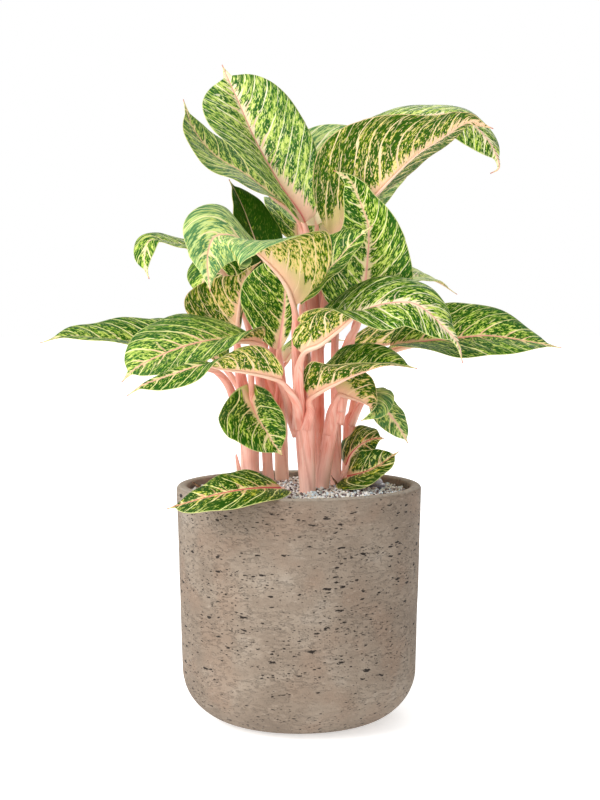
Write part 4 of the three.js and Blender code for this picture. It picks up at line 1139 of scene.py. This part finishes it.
# the gauge's cap, a rounded skirt, a neck and a domed top, with the short red pin standing out of it
turned_piece("water_gauge_cap", SKIRT + DOME, 60, 56, CAP_BASE, CAP_PLASTIC, "water_gauge")
turned_piece("gauge_pin_round", PIN, 24, 20, CAP_BASE + GAUGE_HEIGHT, PIN_PLASTIC, "gauge_pin")


# ---- Twig and withered sheath ----
TWIG_LINE = [(-101, -2, 254), (-109, -3, 261), (-116, 0, 265), (-121.5, 0, 269.5)]
SHEATH_LINE = [(48, 20, 252), (43, 18, 266), (40, 18, 270.5), (37, 19, 275)]
DRY_LUMPS = (0.22, 2.2)  # share of the radius, mm across


def make_rod(name, node, line, radii, flat, rows, sides, seed):
    """A dry rod along the smooth line through points: the radius follows radii, one axis is squashed by flat,
    and lumps make it irregular."""
    share = np.linspace(0, 1, rows)
    line = smooth_line(line, share)
    way = np.gradient(line, axis=0)
    way /= np.linalg.norm(way, axis=1, keepdims=True)
    across = carried(np.array([0.3, 1.0, 0.2]), way)
    face = np.cross(across, way)
    theta = round_angles(sides)
    radius = smooth_line(radii, share)
    rings = grid_about(line, across, face, radius * np.cos(theta), flat * radius * np.sin(theta))
    middle = line[:, None]
    high, size = DRY_LUMPS
    rings = middle + (rings - middle) * (1 + high * lumps(rings, size, seed))[..., None]
    make_piece(name, [Shell(*loft(rings))], [DRY_TISSUE], [node])


make_rod("dry_twig_bent", "dry_twig", TWIG_LINE, [1.1, 1.0, 0.9, 0.6], 1, 30, 12, 5)
make_rod("dry_sheath_curled", "dry_sheath", SHEATH_LINE, [2.6, 2.4, 1.6, 0.4], 0.45, 40, 16, 6)


# ---- Floor, light and camera ----
SURROUND = 0.65  # how bright the surround is as light
FLOOR_GLOW = 0.5
FLOOR_REACH = 14.0  # m from the middle to its edges
WHITE = (1.0, 1.0, 1.0, 1.0)
PALE = (0.93, 0.93, 0.93, 1.0)
TARGET = (0.0, 0.0, 0.36)
CAMERA_AT = (0.0011, -1.818, 0.491)
CAMERA_DOWN = 4.01  # degrees under level


def make_floor():
    """A wide, flat, pale floor just under the pot. It glows a little, so that it melts into the white
    surround."""
    mesh = bpy.data.meshes.new("floor")
    corners = [(x * FLOOR_REACH, y * FLOOR_REACH, 0) for x, y in ((-1, -1), (1, -1), (1, 1), (-1, 1))]
    mesh.from_pydata(corners, [], [(0, 1, 2, 3)])
    skin = Finish("floor_pale", Base_Color=PALE, Roughness=0.9, Emission_Color=WHITE)
    mesh.materials.append(skin.wear(Emission_Strength=FLOOR_GLOW))
    floor = put("floor", mesh)


def make_light(name, kind, place, target, power, **settings):
    """A soft light turned from its place to its target. A sun lights the whole floor alike."""
    lamp = bpy.data.lights.new(name, kind)
    lamp.energy = power
    for key, value in settings.items():
        setattr(lamp, key, value)
    holder = put(name, lamp)
    holder.location = place
    way = Vector(target) - Vector(place)
    holder.rotation_euler = way.to_track_quat("-Z", "Y").to_euler()


def make_world():
    """An even white surround: the camera sees it at full white, the object is lit by less of it."""
    world = bpy.data.worlds.new("studio")
    world.use_nodes = True
    bpy.context.scene.world = world
    g = Graph(world.node_tree)
    seen = g.value("Is Camera Ray", "ShaderNodeLightPath")
    background = world.node_tree.nodes["Background"].inputs
    g.feed(background["Color"], WHITE)
    g.feed(background["Strength"], g.fade(seen, 0.0, 1.0, SURROUND, 1.0))


def make_camera():
    """The camera at the photograph's angle: a long lens a little above the rim, looking slightly down."""
    lens = bpy.data.cameras.new("camera")
    lens.lens = 72
    lens.sensor_width = 36
    camera = put("camera", lens)
    camera.location = CAMERA_AT
    camera.rotation_euler = (np.radians(90 - CAMERA_DOWN), 0, 0)
    bpy.context.scene.camera = camera


make_floor()
make_world()
make_light("key", "SUN", (-2.1, -1.2, 1.6), (0.0, 0.0, 0.0), 2.25, angle=0.7)
make_light("front", "AREA", (-0.7, -1.9, 0.45), TARGET, 10, shape="SQUARE", size=1.0)
make_light("back", "AREA", (0.5, 1.7, 1.8), TARGET, 10, shape="SQUARE", size=1.4)
make_camera()
bpy.context.scene.view_settings.view_transform = "Standard"
